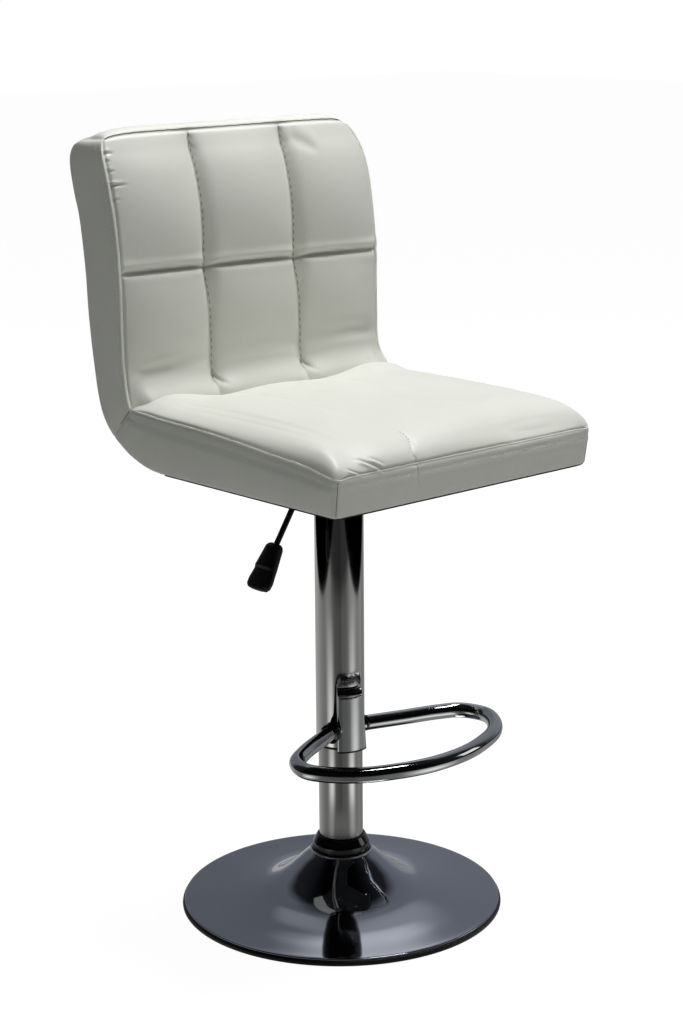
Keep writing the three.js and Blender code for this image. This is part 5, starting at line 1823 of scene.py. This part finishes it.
@dataclass
class Lever:
    """The release lever: a bent rod and the flat grip pressed onto its end."""

    rod_radius: float = 3.4
    axis_z: float = 530.0
    inner_x: float = 3.0
    bend_x: float = -51.3
    slope_degrees: float = 57.0
    rod_end_drop: float = 84.0
    grip_start_drop: float = 68.4
    grip_length: float = 57.0
    grip_half_wide: float = 19.0
    grip_half_thick: float = 9.5
    squareness: float = 0.86
    along_shares: tuple = (0, 0.03, 0.09, 0.3, 0.52, 0.58, 0.8, 0.92, 0.98, 1)
    wide_shares: tuple = (0.38, 0.5, 0.6, 0.71, 0.83, 0.86, 1, 0.97, 0.8, 0.5)
    outside_shares: tuple = (0.4, 0.65, 0.8, 0.9, 1, 1, 1, 0.95, 0.75, 0.4)
    underside_shares: tuple = (0.45, 0.8, 1, 1, 1, 0.64, 0.6, 0.55, 0.42, 0.3)

    @property
    def direction(self) -> np.ndarray:
        """Gives the way the rod slopes down and outwards."""
        slope = math.radians(self.slope_degrees)
        return np.array([-math.cos(slope), 0, -math.sin(slope)])

    def at(self, drop: float) -> np.ndarray:
        """Gives the point of the sloped part that lies a drop below the elbow."""
        elbow = np.array([self.bend_x, 0, self.axis_z])
        return elbow + self.direction * (drop / math.sin(math.radians(self.slope_degrees)))

    def build(self) -> None:
        """Builds the rod and the grip."""
        elbow = np.array([self.bend_x, 0, self.axis_z])
        reach = 3 * self.rod_radius
        before, after = elbow + np.array([reach, 0, 0]), elbow + self.direction * reach
        t = np.linspace(0, 1, 14)[:, None]
        bend = (1 - t) ** 2 * before + 2 * t * (1 - t) * elbow + t * t * after
        start = np.array([[self.inner_x, 0, self.axis_z]])
        path = np.concatenate([start, bend, self.at(self.rod_end_drop)[None]])
        section = oval(self.rod_radius, self.rod_radius, 24)
        make_piece("release_rod", sweep(path, lambda s: section), LEVER_COAT, Body.LEVER,
                   ["lever_rod"])
        self.build_grip()

    def build_grip(self) -> None:
        """Lofts the grip from squarish sections, with a finger step on its underside."""
        places = np.concatenate([np.linspace(0, 0.1, 8), np.linspace(0.14, 0.5, 12),
                                 np.linspace(0.52, 0.6, 7), np.linspace(0.64, 0.9, 10),
                                 np.linspace(0.92, 1, 9)])
        under = np.cross(np.array([0, 1.0, 0]), self.direction)
        under /= np.linalg.norm(under)
        circle = oval(1.0, 1.0, 40)
        wide, thick = (np.sign(circle) * np.abs(circle) ** self.squareness).T
        rings = []
        for place in places:
            half, top, low = (np.interp(place, self.along_shares, shares) for shares in (
                self.wide_shares, self.outside_shares, self.underside_shares))
            centre = self.at(self.grip_start_drop) + self.direction * place * self.grip_length
            high = self.grip_half_thick * np.where(thick > 0, low, top) * thick
            wide_at = wide * (self.grip_half_wide * half)
            rings.append(centre + np.outer(wide_at, (0, 1.0, 0)) + np.outer(high, under))
        make_piece("release_grip", loft(rings), GRIP_PLASTIC, Body.LEVER,
                   ["lever_grip"], sharp=60)


# Base


@dataclass
class Base:
    """The spun dish with its flared neck, the ring that it stands on and the neck's collar."""

    rim_radius: float = 190.0
    dish_radius: float = 187.2
    dish_z: float = 8.8
    neck_radius: float = 36.5
    neck_z: float = 66.0
    neck_hole: float = 31.2
    bead: float = 1.3
    neck_bead: float = 1.1
    sheet: float = 1.5
    ring_height: float = 6.3
    ring_outer: float = 192.5
    ring_inner: float = 180.0
    collar_inner: float = 26.6
    collar_foot: float = 34.3
    # The collar's side as far in from its foot and its top as far out from its bore, with heights.
    collar_side: tuple = ((0, 0), (0, 3.2), (0.1, 8.5), (2.2, 12.5))
    collar_top: tuple = ((2.0, 18.4), (0, 19.0))
    gap: float = 0.3
    sides: int = 192
    dish_shares: tuple = ((0, 0), (0.25, 0.05), (0.45, 0.122), (0.61, 0.228), (0.71, 0.362),
                          (0.8, 0.535), (0.88, 0.722), (0.945, 0.878), (0.985, 0.966), (1, 1))

    def dish_line(self) -> np.ndarray:
        """Gives the dish's outside from the rim to the neck's bead."""
        inward, upward = self.dish_radius - self.neck_radius, self.neck_z - self.dish_z
        knots = np.array([(self.dish_radius - r * inward, self.dish_z + z * upward)
                          for r, z in self.dish_shares])
        dish = centripetal(knots, 10)
        foot = self.ring_height + self.gap
        rim = np.array([
            (self.rim_radius - 0.9, foot), (self.rim_radius - 0.2, foot + 0.25),
            (self.rim_radius, foot + 0.9), (self.rim_radius - 0.25, foot + 1.5),
            (self.rim_radius - 1.1, self.dish_z - 0.25),
        ])
        turn = np.linspace(0, math.pi, 9)[1:]
        centre = np.array([self.neck_radius - self.bead * 0.75, self.neck_z])
        bead = centre + np.stack([self.bead * 0.75 * np.cos(turn), self.bead * np.sin(turn)], 1)
        bead = bead[bead[:, 1] >= self.neck_z + self.bead * 0.5]
        lip = np.array([(self.neck_hole, self.neck_z + self.bead * 0.6)])
        return np.concatenate([rim, dish, bead, lip])

    def build(self) -> None:
        """Builds the dish, the floor ring and the collar."""
        outside = self.dish_line()
        run = np.gradient(outside, axis=0)
        run /= np.linalg.norm(run, axis=1)[:, None]
        inside = outside + np.stack([-run[:, 1], run[:, 0]], axis=1) * self.sheet
        inside[:, 0] = np.clip(inside[:, 0], self.neck_hole, self.rim_radius - self.sheet)
        make_piece("spun_dish", lathe(np.concatenate([outside, inside[::-1]]), self.sides),
                   DISH_CHROME, Body.BASE, ["base_shell"], sharp=50)
        middle = (self.neck_radius + 0.1, self.neck_z + 0.5)
        bead = oval(self.neck_bead, self.neck_bead, 12) + middle
        make_piece("neck_bead", lathe(bead, self.sides), BEAD_CHROME, Body.BASE)
        high, outer = self.ring_height, self.ring_outer
        outline = [(self.ring_inner, 0), (outer - 1.2, 0), (outer, 1.4), (outer - 0.5, high * 0.72),
                   (outer - 2.1, high), (self.ring_inner, high)]
        make_piece("rubber_ring", lathe(rounded(outline, 0.9), self.sides), FLOOR_RUBBER,
                   Body.BASE, ["floor_ring"])
        foot = self.neck_z + self.bead + self.gap
        outline = [(self.collar_inner, foot)]
        outline += [(self.collar_foot - inward, foot + z) for inward, z in self.collar_side]
        outline += [(self.collar_inner + outward, foot + z) for outward, z in self.collar_top]
        make_piece("gloss_collar", lathe(rounded(outline, 1.4), self.sides), COLLAR_PLASTIC,
                   Body.BASE, ["neck_collar"], sharp=60)


# Studio


@dataclass
class Studio:
    """The photographer's floor, lamps, surround and camera."""

    azimuth: float = -42.126
    elevation: float = 13.859
    roll: float = -0.42
    lens: float = 79.617
    camera_place: tuple = (-1.712654, -1.898414, 1.113636)
    paper_half: float = 1.49
    paper_edge: float = 0.03
    floor_half: float = 14.0
    floor_drop: float = 0.0004
    surround_radius: float = 11.0
    surround_tint: tuple = (0.91, 0.97, 1.11, 1)
    dome_light: float = 0.158
    top_lamp_watts: float = 80.0
    side_lamp_watts: float = 3.0
    # The greys that only the metal mirrors. A turn is in degrees from the camera's side towards
    # the picture's right, a rise in degrees above the floor, a distance in metres from the stool.
    floor_tones: tuple = (
        (-180, 0.55), (-138, 0.53), (-117, 0.46), (-100, 0.36), (-78, 0.27), (-58, 0.36),
        (-44, 0.29), (-34, 0.17), (-20, 0.12), (5, 0.11), (11, 0.16), (26, 0.155), (38, 0.22),
        (50, 0.36), (68, 0.46), (84, 0.35), (96, 0.32), (110, 0.42), (126, 0.3), (150, 0.3),
        (180, 0.55))
    lane_tones: tuple = ((-68, 0.0), (-50, 0.9), (-40, 1.0), (-26, 0.05), (0, 0.0), (38, 0.05),
                         (54, 0.9), (63, 1.0), (82, 0.0))
    lane_end: float = 2.0
    lane_reach: tuple = ((0, 0.0), (0.3, 0.25), (0.3444, 0.9), (0.4, 1.3), (0.5389, 0.8),
                         (0.9, 0.35), (1.3333, 0.05), (1.5, 0.0))
    surround_tones: tuple = (
        (-180, 0.24), (-150, 0.23), (-135, 0.24), (-122, 0.03), (-70, 0.004), (0, 0.003),
        (60, 0.004), (118, 0.03), (134, 0.28), (155, 0.31), (180, 0.3))
    surround_rises: tuple = ((0, 1.35), (4, 1.25), (7, 1.0), (54, 0.95), (64, 0.4), (76, 0.05))
    # Soft glows in the surround behind the stool: turn, rise and spread in degrees, strength.
    glows: tuple = ((177.5, 35, 6.0, 0.5), (172, 40, 12, 0.25), (-168, 46, 9, 0.2),
                    (-177.5, 35, 4.0, 0.2))

    def build(self) -> None:
        """Sets the stage round the stool."""
        self.build_camera()
        self.build_world()
        self.build_floor()
        self.build_surround()
        self.build_lamps()
        bpy.context.scene.view_settings.view_transform = "Standard"

    def build_camera(self) -> None:
        """Places the camera at the angle and the distance that the picture was taken from."""
        az, el, roll = (math.radians(v) for v in (self.azimuth, self.elevation, self.roll))
        back = Vector((math.sin(az) * math.cos(el), -math.cos(az) * math.cos(el), math.sin(el)))
        right = (-back).cross(Vector((0, 0, 1))).normalized()
        up = right.cross(-back)
        side = math.cos(roll) * right + math.sin(roll) * up
        top = -math.sin(roll) * right + math.cos(roll) * up
        turn = Matrix((side, top, back)).transposed().to_4x4()
        data = bpy.data.cameras.new("picture_camera")
        data.lens = self.lens
        data.sensor_width = data.sensor_height = 36.0
        data.sensor_fit = "AUTO"
        data.clip_end = 100
        camera = bpy.data.objects.new("picture_camera", data)
        camera.matrix_world = Matrix.Translation(Vector(self.camera_place)) @ turn
        bpy.context.scene.collection.objects.link(camera)
        bpy.context.scene.camera = camera

    def build_world(self) -> None:
        """Makes the world white where it is seen or mirrored and a plain soft dome elsewhere."""
        world = bpy.data.worlds.new("studio_world")
        bpy.context.scene.world = world
        world.use_nodes = True
        tree = world.node_tree
        tree.nodes.clear()
        ray = add_node(tree, "LightPath").outputs
        seen = calculate(tree, "ADD", ray["Is Camera Ray"], ray["Is Glossy Ray"], True)
        seen = calculate(tree, "ADD", seen, ray["Is Transmission Ray"], True)
        white = add_node(tree, "Background", {"Color": (1, 1, 1, 1), "Strength": 1.0})
        dome = add_node(tree, "Background", {"Color": linear("f4f7f5"),
                                             "Strength": self.dome_light})
        mix = add_node(tree, "MixShader", {0: seen, 1: dome.outputs[0], 2: white.outputs[0]})
        add_node(tree, "OutputWorld", {"Surface": mix.outputs[0]})

    def stage_piece(self, name: str, points: list, faces: list,
                    material_name: str) -> tuple[bpy.types.Object, Tree]:
        """Makes a mesh of the studio with an empty material.

        Args:
            name: its name.
            points: its vertices in metres.
            faces: their indices in each face.
            material_name: the material's name.

        Returns:
            The object and its material's nodes.
        """
        mesh = bpy.data.meshes.new(name)
        mesh.from_pydata(points, [], faces)
        piece = bpy.data.objects.new(name, mesh)
        bpy.context.scene.collection.objects.link(piece)
        material = bpy.data.materials.new(material_name)
        material.use_nodes = True
        material.node_tree.nodes.clear()
        mesh.materials.append(material)
        return piece, material.node_tree

    def directions(self, tree: Tree, place: Socket) -> tuple[Socket, Socket, Socket]:
        """Gives how a place of the studio lies from the stool, as the camera sees it.

        Args:
            tree: the material's nodes.
            place: the place in the studio.

        Returns:
            Its distances to the picture's right and to the front, and its turn from the camera's
            side as a share of the circle.
        """
        side, front = (add_node(tree, "VectorMath", {
            "operation": "DOT_PRODUCT", 0: place, 1: self.heading(turn, 0)}).outputs["Value"]
            for turn in (90, 0))
        turn = calculate(tree, "ARCTAN2", side, front)
        return side, front, remap(tree, turn, -math.pi, math.pi)

    def build_floor(self) -> None:
        """Lays a white floor that keeps a soft shadow, with the edges of its paper in the metal."""
        half, z = self.floor_half, -self.floor_drop
        corners = [(-half, -half, z), (half, -half, z), (half, half, z), (-half, half, z)]
        floor, tree = self.stage_piece("studio_floor", corners, [(0, 1, 2, 3)],
                                       "white_paper_floor")
        place = add_node(tree, "TexCoord").outputs["Object"]
        side, front, turn = self.directions(tree, place)
        inside = remap(tree, calculate(tree, "ABSOLUTE", side), self.paper_half - self.paper_edge,
                       self.paper_half + self.paper_edge, 1.0, 0.0)
        near = remap(tree, front, 1.25, 1.85, 1.0, 0.3, "SMOOTHSTEP")
        away = add_node(tree, "VectorMath", {"operation": "LENGTH", 0: place}).outputs["Value"]
        tones = grey_ramp(tree, turn, self.floor_tones, circle_share)
        lanes = grey_ramp(tree, turn, self.lane_tones, circle_share)
        lit = grey_ramp(tree, remap(tree, away, 0, self.lane_end), self.lane_reach,
                        lambda metres: metres / self.lane_end)
        grey = calculate(tree, "ADD", tones, calculate(tree, "MULTIPLY", lanes, lit))
        # Close round the dish's foot the floor is never darker than this.
        close = remap(tree, away, 0.27, 0.33, 0.24, 0.0)
        grey = calculate(tree, "MAXIMUM", grey, close)
        on_paper = calculate(tree, "MULTIPLY", inside, near)
        glow = add_node(tree, "Emission", {"Color": calculate(tree, "MULTIPLY", grey, on_paper)})
        paper = add_node(tree, "BsdfDiffuse", {"Color": (0.8, 0.8, 0.8, 1)})
        shadowed = add_node(tree, "BsdfDiffuse", {"Color": (0.12, 0.12, 0.12, 1)})
        white = add_node(tree, "Emission", {"Color": (1, 1, 1, 1), "Strength": 0.965})
        shown = add_node(tree, "AddShader", {0: shadowed.outputs[0], 1: white.outputs[0]})
        ray = add_node(tree, "LightPath").outputs
        first = add_node(tree, "MixShader", {0: ray["Is Glossy Ray"], 1: paper.outputs[0],
                                             2: glow.outputs[0]})
        last = add_node(tree, "MixShader", {0: ray["Is Camera Ray"], 1: first.outputs[0],
                                            2: shown.outputs[0]})
        add_node(tree, "OutputMaterial", {"Surface": last.outputs[0]})

    def build_surround(self) -> None:
        """Hangs a dome over the stage that only the metal mirrors: dark in front, grey behind."""
        rows, sides = 24, 48
        rise, turn = np.meshgrid(np.arange(rows + 1) * math.pi / 2 / rows,
                                 np.arange(sides) * math.tau / sides, indexing="ij")
        points = self.surround_radius * np.stack([
            np.cos(rise) * np.cos(turn), np.cos(rise) * np.sin(turn), np.sin(rise)], axis=2)
        surround, tree = self.stage_piece("studio_surround", points.reshape(-1, 3).tolist(),
                                          ring_faces(rows + 1, sides), "studio_cloth")
        surround.visible_camera = surround.visible_diffuse = False
        surround.visible_shadow = surround.visible_transmission = False
        place = add_node(tree, "TexCoord").outputs["Object"]
        turn = self.directions(tree, place)[2]
        away = add_node(tree, "VectorMath", {"operation": "NORMALIZE", 0: place}).outputs["Vector"]
        height = add_node(tree, "SeparateXYZ", {"Vector": away}).outputs["Z"]
        grey = calculate(tree, "MULTIPLY", grey_ramp(tree, turn, self.surround_tones, circle_share),
                         grey_ramp(tree, height, self.surround_rises,
                                   lambda degrees: math.sin(math.radians(degrees))))
        total = add_node(tree, "Mix", {"data_type": "RGBA", "blend_type": "MULTIPLY", 0: 1.0,
                                       6: grey, 7: self.surround_tint}).outputs[2]
        for turn_degrees, rise_degrees, spread, strength in self.glows:
            along = add_node(tree, "VectorMath", {
                "operation": "DOT_PRODUCT", 0: away, 1: self.heading(turn_degrees, rise_degrees)})
            spot = remap(tree, along.outputs["Value"], math.cos(math.radians(spread)), 1.0, 0.0,
                         strength, "SMOOTHSTEP")
            total = add_node(tree, "VectorMath", {"operation": "ADD", 0: total,
                                                  1: spot}).outputs["Vector"]
        glow = add_node(tree, "Emission", {"Color": total})
        add_node(tree, "OutputMaterial", {"Surface": glow.outputs[0]})

    def heading(self, turn: float, rise: float) -> tuple[float, float, float]:
        """Gives the direction that lies a turn from the camera's side and a rise from the floor.

        Args:
            turn: degrees from the camera's side towards the picture's right.
            rise: degrees above the floor.

        Returns:
            The direction's X, Y and Z.
        """
        az = math.radians(self.azimuth)
        side, front = math.sin(math.radians(turn)), math.cos(math.radians(turn))
        flat = math.cos(math.radians(rise))
        return (flat * (side * math.cos(az) + front * math.sin(az)),
                flat * (side * math.sin(az) - front * math.cos(az)), math.sin(math.radians(rise)))

    def build_lamps(self) -> None:
        """Hangs a large soft lamp above the seat and a weak one for the front's right half."""
        self.lamp("top_softbox", (0.62, -0.1, 3.2), (0, 0.0, 0.6), (1.5, 1.1), self.top_lamp_watts)
        self.lamp("side_softbox", (2.0, -1.3, 0.9), (0, 0, 0.6), (0.8, 0.8), self.side_lamp_watts)

    def lamp(self, name: str, place: Point, target: Point, size: tuple[float, float],
             watts: float) -> None:
        """Hangs one soft lamp.

        Args:
            name: the lamp's name.
            place: where it hangs.
            target: what it points at.
            size: its width and height.
            watts: its power.
        """
        data = bpy.data.lights.new(name, "AREA")
        data.shape = "RECTANGLE"
        data.size, data.size_y = size
        data.energy = watts
        lamp = bpy.data.objects.new(name, data)
        lamp.location = Vector(place)
        away = Vector(place) - Vector(target)
        lamp.rotation_euler = away.to_track_quat("Z", "Y").to_euler()
        bpy.context.scene.collection.objects.link(lamp)


def circle_share(degrees: float) -> float:
    """Gives where a turn from -180 to 180 degrees lies between 0 and 1."""
    return (degrees + 180) / 360


def dress_frame() -> None:
    """Gives every CAD node the finish of its record slot."""
    slots = {part["node"]: part["material_slot"] for part in frame["record"]["subparts"]}
    for name, node in frame["nodes"].items():
        finish = CAD_FINISHES[slots[name]]
        node.data.materials.clear()
        node.data.materials.append(finish.material())
        for polygon in node.data.polygons:
            polygon.material_index = 0
        LOG.info("%s: %s", name, finish.name)


def main() -> None:
    """Builds the stool's visible pieces in order and sets the stage."""
    logging.basicConfig(level=logging.INFO, format="%(name)s %(message)s")
    dress_frame()
    Studio().build()
    Base().build()
    Column().build()
    Footrest().build()
    Lever().build()
    shell = Shell()
    seat = SeatCushion(shell, name="seat_pad", node="seat_cushion", cap=6.0, fill=0.75)
    back = BackCushion(shell, name="back_pad", node="back_cushion", cap=5.0, fill=0.7)
    seat.build()
    back.build()
    Lips(seat, back).build()
    RearPanel(shell).build()


if __name__ == "__main__":
    main()
